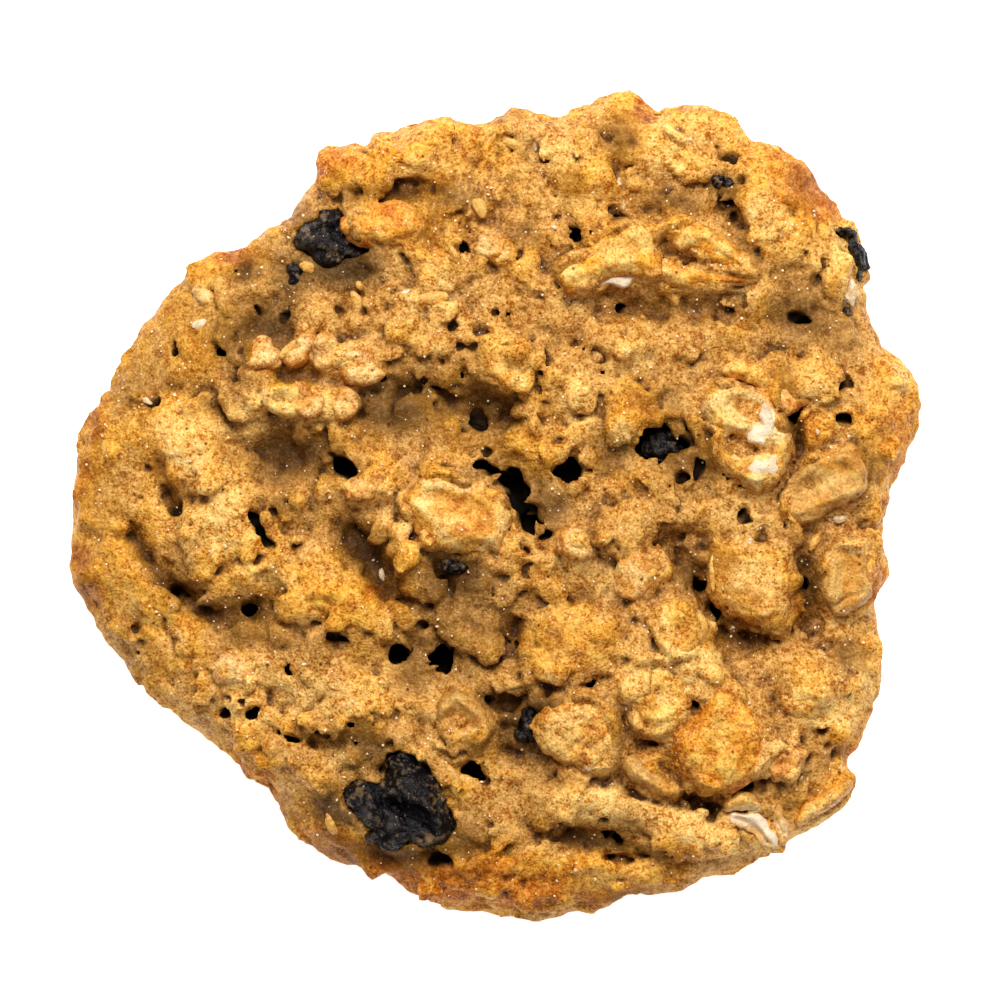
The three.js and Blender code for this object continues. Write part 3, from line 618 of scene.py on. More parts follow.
class Slab:
    """The shape of one topping, which can be asked for in any block of cells."""

    def __init__(self, corners, top, thick, rounding, lean, marks, fray, seed):
        self.curve = closed_curve(corners, 4)
        for _ in range(3):
            self.curve = (np.roll(self.curve, 1, 0) + self.curve + np.roll(self.curve, -1, 0)) / 3
        self.centre = self.curve.mean(0)
        self.top, self.thick, self.rounding, self.lean = top, thick, rounding, lean
        self.marks, self.fray, self.seed = marks, fray, seed

    def inset(self, x, y):
        """How far inside its outline a spot of the map is."""
        away = line_distance(x, y, [*self.curve, self.curve[0]])
        return np.where(inside_of(x, y, self.curve), away, -away)

    def relief(self, x, y):
        """The height that the marks add, less than nothing in a dent."""
        return sum((
            height * np.exp(-MARK_STEEPNESS * (line_distance(x, y, line) / width) ** 2)
            for width, height, line in self.marks
        ), np.zeros(np.broadcast(x, y).shape))

    def field(self, block, spare=0.0, open_top=False):
        """The slab's distances in a block, grown by spare. With an open top it has no upper face."""
        x, y = block.x[:, :, 0], block.y[:, :, 0]
        inset = self.inset(x, y) + spare
        if self.fray:
            coarse, fine = (block.noise(size, self.seed, flat=True) for size in (0.8, 0.4))
            inset = inset + self.fray * (coarse + 0.7 * fine)
        share = np.clip(inset / self.rounding, 0, 1)
        bulge = self.thick / 2 * np.sqrt(1 - (1 - share) ** 2)
        middle = self.top - self.thick / 2 + self.lean[0] * (x - self.centre[0])
        middle = middle + self.lean[1] * (y - self.centre[1])
        upper = middle + bulge + self.relief(x, y) * share + spare
        lower = middle - bulge - spare
        side = np.where(inset > 0, -FAR, -inset)[:, :, None]
        if open_top:
            return np.maximum(lower[:, :, None] - block.z, -inset[:, :, None])
        return np.maximum(np.maximum(block.z - upper[:, :, None], lower[:, :, None] - block.z), side)


def part_of(block, lowest, highest):
    """The cells of a block between two corners: their slices, and a small block of the same pitch."""
    start = np.maximum(np.floor((lowest - block.low) / block.pitch).astype(int), 0)
    stop = np.minimum(np.ceil((highest - block.low) / block.pitch).astype(int), block.shape)
    small = Block(block.low + start * block.pitch, block.low + (stop - 1.5) * block.pitch, block.pitch)
    return tuple(slice(a, b) for a, b in zip(start, start + small.shape)), small


print("a slab can be asked for its", [name for name in vars(Slab) if not name.startswith("_")])


# %% Pressing a topping
def press(name, corners, thick, rounding, lean=(0, 0), marks=(), fray=0.0, skin=(0.7, 0.08),
          folds=(), torn=(), slot="oat_flake", node=True, lift=0.8, top=None, seed=0,
          bed=True, film=0.55, bared=0.25, sink=1.3, open_top=False, crumbly=0.0, climb=0.0):
    """Makes one topping and its bed in the dough.

    skin is the size and height of its swells, marks are ridges and dents as width, height and line,
    folds are sizes and depths, and torn is outlines of white grain. film is how far dough reaches
    over its edge, and bared how far the dough stays under its skin. A topping with a climb is
    joined softly to the dough instead, and one that is crumbly has the dough's grains on it.
    """
    middle = np.mean(corners, 0)
    if node:
        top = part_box(name)[1].z / MM
    elif top is None:
        top = float(dough_top(*middle)) + lift
    slab = Slab(corners, top, thick, rounding, lean, marks, fray, seed)
    reach_x, reach_y = np.ptp(slab.curve, axis=0) / 2
    tilt = abs(lean[0]) * reach_x + abs(lean[1]) * reach_y
    lowest = np.array([*slab.curve.min(0) - ROOM_BESIDE, top - thick - tilt - ROOM_BESIDE])
    highest = np.array([*slab.curve.max(0) + ROOM_BESIDE, top + tilt + ROOM_ABOVE])
    block = Block(lowest, highest, DETAIL_PITCH)
    field = block.distances(slab.field(block))
    field = field - skin[1] * block.noise(skin[0], 60 + seed)
    field = field - skin[1] * 1.6 * block.pebbles(GRIT_SPACING, 70 + seed, np.abs(field) < 0.5)
    if crumbly:
        near = np.abs(field) < 1.0
        for step, (spacing, height) in enumerate(GRAINS):
            field = field - crumbly * height * (block.pebbles(spacing, 31 + step, near) + 0.12)
    for step, (size, depth) in enumerate(folds):
        field = field + depth * wrinkled(block, size, 80 + seed + step)
    points, faces = surface_points(block, field)
    piece = mesh_piece(name + "_detail", points, faces)
    if node:
        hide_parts(name)
    solid = np.clip(0.5 - field / block.pitch, 0, 1)
    give(piece, "crevice", block.sample(box_blur(solid, 3), points))
    give(piece, "cloud", block.sample(block.noise(0.9, 90 + seed), points))
    give(piece, "rim", slab.inset(points[:, 0], points[:, 1]))
    outside = np.full(len(points), FAR)
    for line in torn:
        outside = np.minimum(outside, -Slab(line, 0, 1, 1, lean, (), 0, 0).inset(points[:, 0], points[:, 1]))
    give(piece, "torn", 1 - smooth_step(outside, -0.2, 0.25))
    if bed:
        cut, cells = part_of(batch, lowest - 2, highest + 2)
        x, y = cells.x[:, :, 0], cells.y[:, :, 0]
        collar = Slab(corners, top - sink - COLLAR, thick, rounding, lean, (), 0, 0).field(cells, COLLAR)
        collar = np.maximum(collar, dough[cut] - REACH_UP)
        collar = collar - COLLAR_ROUGHNESS * cells.pebbles(COLLAR_GRAIN, 40 + seed, np.abs(collar) < 1)
        patchy = np.clip(cells.noise(FILM_PATCH, 50 + seed, flat=True), 0, 2) + FILM_LEAST
        lap = film * patchy * np.exp(-((slab.inset(x, y) / FILM_WIDTH) ** 2))
        body = slab.field(cells, lap - bared)
        cleared = slab.field(cells, -CLEARANCE if open_top else 0.0, open_top)
        around = np.maximum(soft_join(dough[cut], collar, CLIMB), -cleared)
        dough[cut] = soft_join(dough[cut], body, climb) if climb else np.minimum(around, body)
    return piece


# %% [markdown]
# The large flake in the middle. It is the one the eye finds first: a rolled oat nearly ten
# millimetres long, with a dent along its middle where the crease of the grain was, a raised rim,
# and a squared-off right end.

# %% Flake in the middle
press(
    "oat_flake_centre",
    [(-8.3, 0.4), (-7.6, 1.6), (-6.6, 2.6), (-5.2, 3.3), (-3.9, 2.9), (-2.9, 2.2), (-1.6, 2.0),
     (-0.5, 1.9), (0.3, 1.1), (1.4, 0.2), (1.5, -1.0), (0.9, -2.6), (0.0, -4.0), (-2.4, -4.6),
     (-4.9, -4.3), (-6.3, -3.3), (-7.1, -1.9), (-8.0, -0.9)],
    thick=3.0, rounding=1.9, lean=(-0.02, 0.05), seed=1, skin=(0.8, 0.07), fray=0.14, sink=1.7,
    marks=[(1.2, -0.5, [(-5.8, 1.0), (-3.6, 0.3), (-0.8, -0.6)]),
           (0.9, 0.2, [(-6.6, 2.0), (-3.4, 1.8), (0.4, 0.6)]),
           (1.2, 0.45, [(-7.2, 0.2), (-5.4, -1.5), (-2.6, -2.7), (0.4, -2.6)]),
           (0.5, -0.3, [(-2.6, -0.9), (-1.2, -1.8)])],
)
print("middle flake:", len(pieces["oat_flake_centre_detail"].data.polygons), "faces")

# %% [markdown]
# The long torn flakes. Three pieces of oat lie end to end near the top, where one large flake has
# split as it baked. Their lower edge is torn and shows the pale inside of the grain, and two slots
# between them are dark.

# %% Long torn flakes
LOOSE = dict(node=False, bed=False)
press(
    "oat_flake_long_left",
    [(5.1, 20.4), (5.9, 21.7), (7.6, 22.2), (8.8, 22.5), (9.6, 23.9), (11.4, 24.9), (13.6, 25.1),
     (14.3, 23.9), (14.4, 22.0), (14.8, 20.9), (14.0, 20.0), (11.5, 20.2), (9.8, 19.9), (8.3, 19.1),
     (6.3, 18.7), (5.3, 19.5)],
    thick=2.6, rounding=1.4, lean=(0.0, -0.05), seed=2, fray=0.10,
    marks=[(1.0, 0.4, [(6.4, 20.2), (9.5, 21.2), (12.6, 21.4)]), (0.8, -0.3, [(9.6, 22.8), (13.6, 22.6)]),
           (0.7, 0.3, [(11.0, 24.2), (13.4, 24.2)])],
)
press(
    "oat_flake_long_right",
    [(14.5, 24.6), (16.3, 25.2), (18.5, 24.8), (20.2, 23.7), (22.0, 22.3), (23.5, 20.7), (23.4, 20.1),
     (22.4, 20.1), (21.4, 20.7), (19.8, 21.0), (18.2, 21.9), (17.2, 22.6), (16.4, 22.4), (15.6, 23.2),
     (14.7, 23.4)],
    thick=2.6, rounding=1.2, lean=(-0.06, 0.0), seed=3, fray=0.07,
    marks=[(0.8, 0.4, [(15.6, 24.2), (18.6, 23.8), (21.4, 21.6)]),
           (0.4, -0.35, [(19.6, 22.4), (21.6, 20.9)])],
)
press(
    "oat_flake_long_lower",
    [(13.5, 21.4), (14.6, 22.0), (15.6, 21.6), (16.6, 21.0), (18.0, 21.6), (19.2, 21.0), (20.8, 20.7),
     (22.8, 20.1), (23.2, 19.7), (20.5, 19.2), (17.0, 19.0), (15.0, 19.5), (13.6, 20.2)],
    thick=2.2, rounding=1.0, seed=4, fray=0.08,
    marks=[(0.7, 0.3, [(14.4, 20.9), (18.0, 20.2), (21.6, 19.8)])],
)
press(
    "oat_torn_lip",
    [(6.8, 18.6), (7.2, 19.5), (8.6, 20.0), (10.6, 20.4), (12.6, 20.6), (13.8, 20.4), (13.2, 19.7),
     (12.2, 19.7), (11.4, 19.3), (10.4, 19.4), (9.6, 19.0), (8.8, 19.1), (7.8, 18.5)],
    thick=1.0, rounding=0.35, lean=(-0.07, -0.05), top=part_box("oat_flake_long_left")[1].z / MM - 1.0,
    seed=5, fray=0.12, **LOOSE,
    torn=[[(9.2, 17.0), (9.4, 20.0), (11.8, 21.0), (12.0, 18.4), (10.0, 16.2)]],
)
print("long flakes:", [name for name in pieces if "long" in name or "lip" in name])

# %% [markdown]
# The curled flake. One flake on the right has rolled up on itself: a yellow loop on the left, a
# dark hollow under it, and two white torn lips where the grain broke open. The loop is one slab
# with deep marks for its hollows, and the lips are thin slabs that stand on it.

# %% Curled flake
curl_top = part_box("oat_flake_curled")[1].z / MM
press(
    "oat_flake_curled",
    [(18.2, 9.6), (19.2, 10.8), (20.8, 10.9), (22.4, 10.2), (24.0, 9.4), (25.0, 8.2), (25.8, 6.4),
     (26.1, 5.0), (25.5, 3.6), (25.0, 2.0), (24.0, 1.2), (22.4, 1.4), (20.8, 2.1), (19.6, 3.2),
     (19.2, 4.6), (19.5, 5.8), (19.7, 6.5), (18.7, 7.2), (18.2, 8.3)],
    thick=3.6, rounding=1.1, seed=6, slot="oat_curl", fray=0.12,
    marks=[(1.2, -2.8, [(20.8, 5.5), (21.8, 4.9)]), (1.7, -1.7, [(21.8, 8.8), (23.0, 8.0)]),
           (0.6, 0.5, [(18.9, 9.2), (19.4, 7.6), (20.8, 7.0), (22.4, 6.9)]),
           (0.6, 0.5, [(20.0, 4.2), (21.0, 2.9), (23.0, 2.2), (24.6, 2.6)]),
           (0.4, 0.35, [(24.7, 8.0), (25.4, 6.0), (25.5, 4.6)]), (0.9, -0.8, [(22.8, 5.0), (24.2, 4.9)])],
    torn=[[(24.0, 9.0), (24.9, 7.4), (24.6, 6.2), (22.6, 5.4), (21.9, 5.9), (22.6, 6.9), (23.3, 7.6)]],
)
LIPS = {
    "oat_curl_lip_upper": (
        [(23.7, 9.1), (24.1, 8.4), (24.8, 7.3), (24.7, 6.0), (23.8, 5.5), (22.9, 5.2), (22.0, 5.6),
         (22.5, 6.5), (23.3, 7.0), (23.6, 7.9)], 0.1,
    ),
    "oat_curl_lip_lower": (
        [(22.1, 3.2), (22.7, 3.6), (22.8, 4.3), (23.4, 4.0), (24.0, 4.2), (24.6, 4.7), (24.8, 3.6),
         (24.3, 2.9), (23.2, 2.6)], 0.2,
    ),
}
for name, (corners, rise) in LIPS.items():
    press(
        name, corners,
        thick=0.8, rounding=0.3, lean=(0.05, 0.10), top=curl_top + rise, seed=len(corners),
        slot="oat_curl", fray=0.2, crumbly=0.3, **LOOSE,
        torn=[[(18.0, 0.0), (18.0, 10.0), (27.0, 10.0), (27.0, 0.0)]],
    )
# crumbs of dough that fill the curl's upper hollow
for x, y, wide in [(22.3, 8.6, 0.9), (23.2, 7.9, 0.7), (21.5, 7.9, 0.6), (22.6, 7.6, 0.5)]:
    radii = wide * np.array([1.0, 0.8, 0.6])
    add_oval(dough, batch, np.array([x, y, curl_top - 1.3]), radii, turned((x, 0.2, 0.1)), CRUMB_FILLET)
print("curled flake in", len([name for name in pieces if "curl" in name]), "pieces")

# %% [markdown]
# Other flakes. Each has something of its own: the one on the right is a shallow dish seen at an
# angle, the next stands on the rim with a crease across its foot, one is slit down the middle, and
# slender ones lie almost on edge. Their corners were read off the photograph, and their ridges
# are the few that show.

# %% Flakes on the right
press(
    "oat_flake_above_curl",
    [(19.9, 12.0), (20.8, 12.9), (22.4, 12.7), (23.8, 11.9), (24.7, 10.9), (24.2, 10.2), (22.8, 10.5),
     (21.4, 11.1), (20.3, 11.3)],
    thick=1.9, rounding=0.9, seed=11,
    marks=[(0.6, 0.3, [(20.6, 12.2), (22.6, 11.9), (24.0, 10.9)])],
)
press(
    "oat_flake_right",
    [(25.3, -0.5), (25.6, 1.3), (26.4, 2.9), (27.8, 4.2), (29.5, 4.8), (31.0, 5.0), (32.0, 4.1),
     (32.7, 2.8), (32.9, 1.3), (31.6, 0.3), (30.2, -0.1), (29.0, -0.6), (27.8, -1.6), (26.2, -1.6)],
    thick=2.2, rounding=1.1, lean=(0.05, 0.10), seed=12, fray=0.06,
    marks=[(1.5, -0.6, [(26.8, 1.0), (29.0, 2.4), (31.0, 2.8)]),
           (0.55, 0.35, [(26.4, 2.2), (28.2, 3.9), (30.8, 4.4)]),
           (0.6, 0.4, [(26.2, -0.8), (28.2, 0.0), (30.4, 0.8), (32.2, 1.4)]),
           (0.3, 0.2, [(27.4, 1.0), (29.6, 2.0)])],
)
press(
    "oat_flake_right_rim",
    [(29.3, -3.9), (30.8, -3.2), (32.4, -3.8), (33.2, -5.6), (33.5, -7.4), (32.6, -8.8), (31.2, -9.7),
     (29.9, -9.8), (29.0, -8.5), (28.7, -6.6), (28.8, -5.0)],
    thick=2.6, rounding=1.4, lean=(-0.08, 0.06), seed=13, fray=0.08,
    marks=[(0.35, -0.5, [(29.9, -8.9), (31.2, -8.1), (33.2, -7.5)]),
           (0.8, 0.4, [(29.6, -4.6), (29.5, -8.2)]), (0.7, -0.3, [(31.2, -4.6), (31.4, -7.0)])],
)
press(
    "oat_flake_creased",
    [(13.5, -9.7), (14.2, -8.7), (15.4, -8.2), (16.8, -8.9), (18.0, -10.4), (18.1, -12.0), (17.2, -13.2),
     (15.8, -13.5), (14.8, -12.4), (14.0, -11.2)],
    thick=2.2, rounding=1.1, lean=(0.02, 0.03), seed=14, fray=0.05,
    marks=[(0.16, -0.55, [(15.0, -8.2), (15.8, -9.8), (16.3, -12.2)]),
           (0.6, 0.4, [(14.4, -9.4), (15.4, -12.4)]), (0.6, 0.25, [(16.8, -9.8), (17.3, -12.2)])],
)
press(
    "oat_flake_top_right",
    [(12.8, 31.8), (13.5, 32.9), (14.8, 33.4), (15.8, 32.7), (16.9, 31.7), (18.1, 30.6), (18.9, 29.8),
     (18.4, 28.9), (17.0, 29.0), (15.4, 29.6), (13.8, 30.4)],
    thick=2.0, rounding=1.1, lean=(-0.03, -0.03), seed=15,
    marks=[(0.5, 0.3, [(14.4, 32.6), (18.0, 29.9)]), (0.5, -0.2, [(14.0, 31.2), (16.6, 29.8)])],
)
print("flakes on the right:", len(pieces), "toppings so far")

# %% [markdown]
# Shreds at the lower rim. Down on the right a flake has been torn: a white shred hangs over the
# edge, a golden flap with a pale torn edge lies above it, and another flake is folded into the
# rim. They are thin, so they get a sharp rounding and a lean that follows the falling rim.

# %% Flakes and shreds below
press(
    "oat_flake_slender",
    [(10.8, -22.1), (12.0, -21.9), (13.4, -22.8), (14.8, -23.9), (16.0, -25.3), (15.4, -25.8),
     (14.0, -25.5), (12.4, -24.6), (11.2, -23.4)],
    thick=2.0, rounding=1.0, lean=(0.0, 0.10), seed=16,
    marks=[(0.35, 0.3, [(11.8, -23.2), (14.0, -24.7), (15.4, -25.4)])],
)
press(
    "oat_shred_white",
    [(20.2, -27.8), (20.5, -26.9), (21.8, -26.9), (23.1, -27.1), (23.9, -27.8), (24.4, -28.8),
     (24.9, -29.6), (25.1, -30.5), (24.3, -30.6), (23.4, -29.8), (22.4, -28.8), (21.2, -28.1)],
    thick=0.8, rounding=0.3, lean=(-0.12, 0.0), seed=17, slot="oat_curl", fray=0.12, film=0.2, sink=0.6,
    marks=[(0.35, 0.3, [(20.9, -27.2), (22.8, -27.6), (24.6, -29.8)]),
           (0.5, -0.4, [(21.6, -27.8), (23.0, -28.6), (24.0, -29.8)])],
    torn=[[(20.0, -28.4), (20.4, -26.4), (23.0, -26.8), (24.6, -28.6), (25.2, -30.4), (24.2, -29.6),
           (22.4, -27.8)]],
)
shred_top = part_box("oat_shred_white")[1].z / MM
press(
    "oat_shred_petal",
    [(24.4, -26.6), (25.2, -26.9), (25.9, -28.2), (26.0, -29.4), (25.2, -30.2), (24.8, -29.2),
     (24.3, -27.9)],
    thick=0.8, rounding=0.3, lean=(-0.14, 0.06), top=shred_top - 0.4, seed=18, slot="oat_curl", fray=0.1,
    **LOOSE,
    marks=[(0.3, 0.25, [(24.9, -27.2), (25.5, -28.6), (25.5, -29.8)])],
)
press(
    "oat_shred_flap",
    [(20.1, -26.9), (20.2, -25.8), (21.2, -25.1), (22.6, -25.2), (23.2, -26.0), (23.9, -26.5),
     (23.0, -26.9), (21.8, -26.8), (20.8, -27.3)],
    thick=1.3, rounding=0.6, lean=(0.0, 0.06), top=shred_top + 0.8, seed=19, fray=0.12, crumbly=0.5,
    **LOOSE,
    marks=[(0.5, 0.4, [(20.6, -26.2), (22.4, -25.9)])],
    torn=[[(20.0, -27.6), (20.4, -26.7), (22.2, -26.7), (23.3, -26.5), (23.7, -26.1), (24.6, -27.6)]],
)
press(
    "oat_flake_lower_rim",
    [(26.1, -28.0), (27.0, -26.6), (28.6, -25.6), (30.0, -24.6), (31.5, -24.2), (31.6, -25.0),
     (30.4, -26.3), (28.6, -27.5), (27.0, -28.5)],
    thick=2.0, rounding=0.8, lean=(0.02, 0.16), seed=20, fray=0.06,
    marks=[(0.25, -0.35, [(26.8, -27.4), (28.8, -26.0), (31.0, -24.8)]),
           (0.3, 0.25, [(27.2, -28.0), (30.4, -25.8)])],
)
print("shreds:", [name for name in pieces if "shred" in name])

# %% [markdown]
# Plump pieces. Where oats have clumped with dough they bake into round knobs the size of a pea,
# golden to orange, with a few dimples. They are thicker slabs with a wide rounding, which carry the
# dough's grains and run softly into it. One flake near the bottom dried into a ring with a sunken
# middle.

# %% Plump pieces and the ring
KNOB = dict(slot="oat_chunk", bared=0.35, crumbly=0.75, climb=2.2)
press(
    "oat_piece_upper_left",
    [(-13.4, 25.0), (-12.1, 26.0), (-10.2, 26.8), (-8.6, 26.7), (-7.2, 25.9), (-6.5, 24.8), (-6.9, 23.6),
     (-8.5, 22.9), (-10.7, 22.8), (-12.3, 23.1), (-13.0, 24.2)],
    thick=3.4, rounding=2.0, lean=(0.04, 0.0), seed=21, skin=(1.2, 0.09), **KNOB,
    marks=[(0.5, -0.15, [(-11.0, 25.8), (-10.6, 25.6)])],
)
press(
    "oat_piece_yellow",
    [(25.3, -15.5), (25.5, -14.3), (26.6, -13.5), (28.2, -13.6), (29.4, -14.4), (30.0, -15.9),
     (29.5, -17.4), (28.2, -18.6), (26.6, -18.8), (25.6, -17.8), (25.4, -16.6)],
    thick=3.2, rounding=2.1, seed=22, skin=(1.2, 0.10), **KNOB,
    marks=[(0.9, 0.3, [(26.4, -14.6), (28.4, -14.6)]), (0.5, -0.3, [(25.8, -16.4), (26.6, -16.2)])],
)
press(
    "oat_piece_golden",
    [(15.4, -20.8), (16.6, -19.8), (17.9, -18.8), (18.5, -17.2), (19.3, -16.2), (20.8, -16.7),
     (22.6, -17.8), (23.9, -19.4), (24.1, -21.2), (23.3, -23.2), (21.8, -24.6), (20.0, -25.0),
     (18.0, -24.4), (16.5, -22.8)],
    thick=4.0, rounding=2.3, lean=(0.0, 0.04), seed=23, skin=(1.3, 0.11), **KNOB,
    marks=[(0.3, 0.4, [(19.1, -16.3), (18.9, -18.4)]), (1.4, 0.35, [(21.6, -18.8), (22.6, -20.2)]),
           (1.0, -0.3, [(19.4, -20.6), (18.6, -22.8)])],
)
press(
    "oat_piece_pale",
    [(11.1, -15.6), (12.0, -14.0), (13.5, -13.2), (15.2, -13.7), (16.2, -15.3), (16.8, -17.2),
     (16.5, -19.2), (15.2, -20.1), (13.4, -20.4), (12.0, -19.3), (11.3, -17.4)],
    thick=3.0, rounding=1.9, lean=(0.0, 0.03), seed=24, skin=(1.0, 0.12), fray=0.08, **KNOB,
    marks=[(0.8, 0.35, [(12.4, -15.6), (13.0, -18.4)]), (0.5, -0.35, [(14.0, -15.0), (14.4, -18.0)]),
           (0.6, 0.3, [(15.4, -15.4), (15.8, -18.2)])],
)
press(
    "oat_piece_lower",
    [(4.2, -18.3), (5.1, -17.2), (6.4, -17.0), (7.7, -16.5), (9.5, -17.3), (10.6, -18.9), (10.8, -21.2),
     (10.3, -23.0), (9.1, -23.4), (8.0, -23.9), (6.9, -23.0), (5.2, -22.4), (3.9, -21.4), (3.4, -19.6)],
    thick=3.4, rounding=2.0, lean=(0.0, 0.05), seed=25, skin=(1.1, 0.11), fray=0.08, **KNOB,
    marks=[(1.0, 0.3, [(5.2, -18.6), (8.6, -18.4)]), (0.8, -0.3, [(6.0, -21.2), (9.0, -21.4)])],
    torn=[[(7.2, -24.4), (7.4, -23.2), (8.4, -23.2), (9.4, -22.9), (10.2, -23.4), (9.0, -24.6)]],
)
press(
    "oat_ring",
    [(-5.5, -18.4), (-4.8, -17.0), (-3.4, -16.2), (-2.2, -16.8), (-0.9, -18.2), (-0.3, -19.6),
     (-1.0, -20.7), (-2.8, -20.8), (-4.7, -20.1)],
    thick=2.0, rounding=1.0, seed=26, slot="oat_curl", fray=0.06,
    marks=[(1.5, -0.9, [(-3.6, -19.0), (-2.4, -19.2)]),
           (0.45, 0.3, [(-4.8, -18.4), (-3.4, -16.9), (-1.6, -18.4), (-0.9, -19.8)])],
)
print("plump pieces:", [name for name in pieces if "piece" in name])

# %% [markdown]
# Chips of oat. Broken flakes no larger than a lentil stand out of the crumb with crisp edges, most
# of them on the left. Each is a small slab with six corners that chance has moved a little. They
# are all of one kind, so they are joined into one piece at the end.

# %% Chips of oat
def join_kind(name, alike):
    """Makes one piece of several of a kind, with the numbers that their points keep."""
    for piece in alike:
        del pieces[piece.name]
    first = alike[0]
    with bpy.context.temp_override(active_object=first, selected_editable_objects=alike):
        bpy.ops.object.join()
    first.name = first.data.name = name + "_detail"
    pieces[first.name] = first


# x, y, length, width, turn in degrees, height above the dough
CHIPS = [
    (-20.6, 13.4, 3, 3, 20, 0.5), (-17.5, 13.6, 3.8, 1.9, 40, 0.5), (-15.1, 13.5, 2.7, 3, 5, 0.5),
    (-12, 12.4, 4.4, 3.4, -20, 0.4), (-17.4, 8.9, 5.4, 2.9, -3, 0.5), (-13.1, 9, 3.2, 2.8, -5, 0.4),
    (-11.8, 1.7, 3.8, 2.3, 8, 0.6), (-25.6, 18.5, 2.8, 2, -30, 0.5), (7, -3.4, 3.3, 4, 5, 0.5),
    (-16.4, 16.8, 2.3, 4, -10, 0.1), (-23, -14.6, 4.6, 2.8, -15, 0.3), (1.9, -15.5, 3.2, 2.5, 0, 0.4),
    (12.8, -6.2, 4.6, 3.4, 30, 0.3), (25.3, -22.3, 3.8, 3.6, 10, 0.4), (8, 13.9, 3.4, 2.4, -20, 0.3),
    (-0.2, 22.8, 3.6, 2.3, 5, 0.3), (26.4, 10, 3.6, 3.4, 20, 0.3), (-13.2, -17.5, 2.2, 1.8, 0, 0.4),
]
CHIP_SKEW = 0.16
CHIP = dict(
    thick=1.6, rounding=0.6, lean=(0.0, 0.08), node=False, fray=0.12, bared=0.3, crumbly=0.4, climb=0.5,
)

sixths = np.arange(6) * math.pi / 3
chips = []
for step, (x, y, length, width, turn, height) in enumerate(CHIPS):
    jolt = 1 + CHIP_SKEW * np.random.default_rng(step).normal(size=6)
    along, across = length / 2 * jolt * np.cos(sixths), width / 2 * jolt * np.sin(sixths)
    c, s = math.cos(math.radians(turn)), math.sin(math.radians(turn))
    corners = list(zip(x + along * c - across * s, y + along * s + across * c))
    chips.append(press(f"oat_chip_{step + 1}", corners, lift=height, seed=100 + step, **CHIP))
join_kind("oat_chips", chips)
print("chips:", len(CHIPS), "with", len(pieces["oat_chips_detail"].data.polygons), "faces")

# %% [markdown]
# Blueberries. Dried, they are soft black bags with a net of folds, and the oven leaves them
# glistening. The folds come from noise: wherever it changes sign there is a narrow groove, and two
# sizes of that make big folds with small wrinkles between. The biggest folds are drawn one by one.

# %% Blueberries
BERRY = dict(slot="blueberry", bared=0.8, film=0.3, open_top=True)
BERRY_FOLDS = ((1.7, 0.34), (0.9, 0.18))
press(
    "blueberry_upper_left",
    [(-18.0, 23.9), (-17.3, 24.9), (-15.9, 25.5), (-15.0, 26.3), (-14.0, 26.3), (-13.1, 25.5),
     (-12.9, 24.3), (-12.2, 23.1), (-11.2, 22.8), (-10.9, 22.2), (-12.2, 21.6), (-13.8, 21.0),
     (-15.3, 20.8), (-16.2, 21.8), (-17.5, 22.4)],
    thick=4.0, rounding=2.2, seed=31, skin=(0.6, 0.06), fray=0.15, folds=BERRY_FOLDS, **BERRY,
    marks=[(0.6, 0.5, [(-15.4, 25.4), (-14.0, 25.4)]),
           (0.6, -0.5, [(-16.6, 24.2), (-14.6, 24.4), (-13.4, 23.8)]),
           (0.5, -0.4, [(-15.8, 22.4), (-13.2, 22.0)])],
)
press(
    "blueberry_tail",
    [(-18.4, 20.2), (-18.1, 21.3), (-17.2, 21.4), (-17.0, 20.6), (-17.4, 19.4), (-18.0, 19.3)],
    thick=1.4, rounding=0.6, lift=0.3, seed=32, node=False, fray=0.12, folds=((0.8, 0.15),), **BERRY,
)
press(
    "blueberry_lower_left",
    [(-13.9, -26.5), (-13.6, -24.8), (-12.4, -24.2), (-11.2, -24.3), (-9.7, -24.1), (-9.6, -22.6),
     (-9.2, -21.5), (-8.3, -21.3), (-6.6, -22.2), (-5.6, -23.4), (-4.8, -24.5), (-4.3, -26.2),
     (-3.5, -28.0), (-3.9, -29.4), (-5.2, -30.1), (-7.2, -30.4), (-9.6, -30.4), (-11.0, -29.3),
     (-12.2, -27.7)],
    thick=4.6, rounding=2.4, seed=33, skin=(0.6, 0.07), fray=0.16, folds=BERRY_FOLDS, **BERRY,
    marks=[(0.7, -0.7, [(-12.6, -26.6), (-10.6, -28.2)]),
           (0.8, -0.8, [(-9.4, -26.2), (-7.4, -27.8), (-5.2, -29.4)]),
           (0.7, 0.5, [(-9.2, -25.0), (-6.4, -26.2), (-4.8, -28.0)]),
           (0.7, -0.5, [(-9.4, -24.0), (-6.0, -24.2)]), (0.7, 0.4, [(-8.4, -22.6), (-6.6, -23.4)]),
           (0.6, -0.5, [(-7.2, -26.8), (-5.4, -27.6)])],
)
press(
    "blueberry_right_edge",
    [(30.0, 24.0), (29.8, 24.5), (31.0, 24.8), (32.1, 24.6), (32.2, 23.6), (32.8, 22.6), (33.2, 21.3),
     (32.8, 20.5), (32.3, 19.9), (31.8, 20.8), (31.5, 22.2), (31.0, 23.4)],
    thick=3.4, rounding=0.9, seed=34, fray=0.14, folds=((0.9, 0.25), (0.5, 0.12)), **BERRY,
    marks=[(0.6, -0.6, [(30.6, 23.9), (31.8, 23.6)]), (0.3, 0.4, [(32.1, 23.0), (32.4, 20.8)])],
)
press(
    "blueberry_lower_middle",
    [(2.1, -18.5), (3.0, -17.5), (3.8, -18.3), (3.7, -19.8), (3.1, -20.9), (1.7, -21.0), (1.3, -20.4),
     (1.8, -19.4)],
    thick=2.8, rounding=1.0, seed=35, fray=0.12, folds=((0.9, 0.3), (0.5, 0.12)), **BERRY,
)
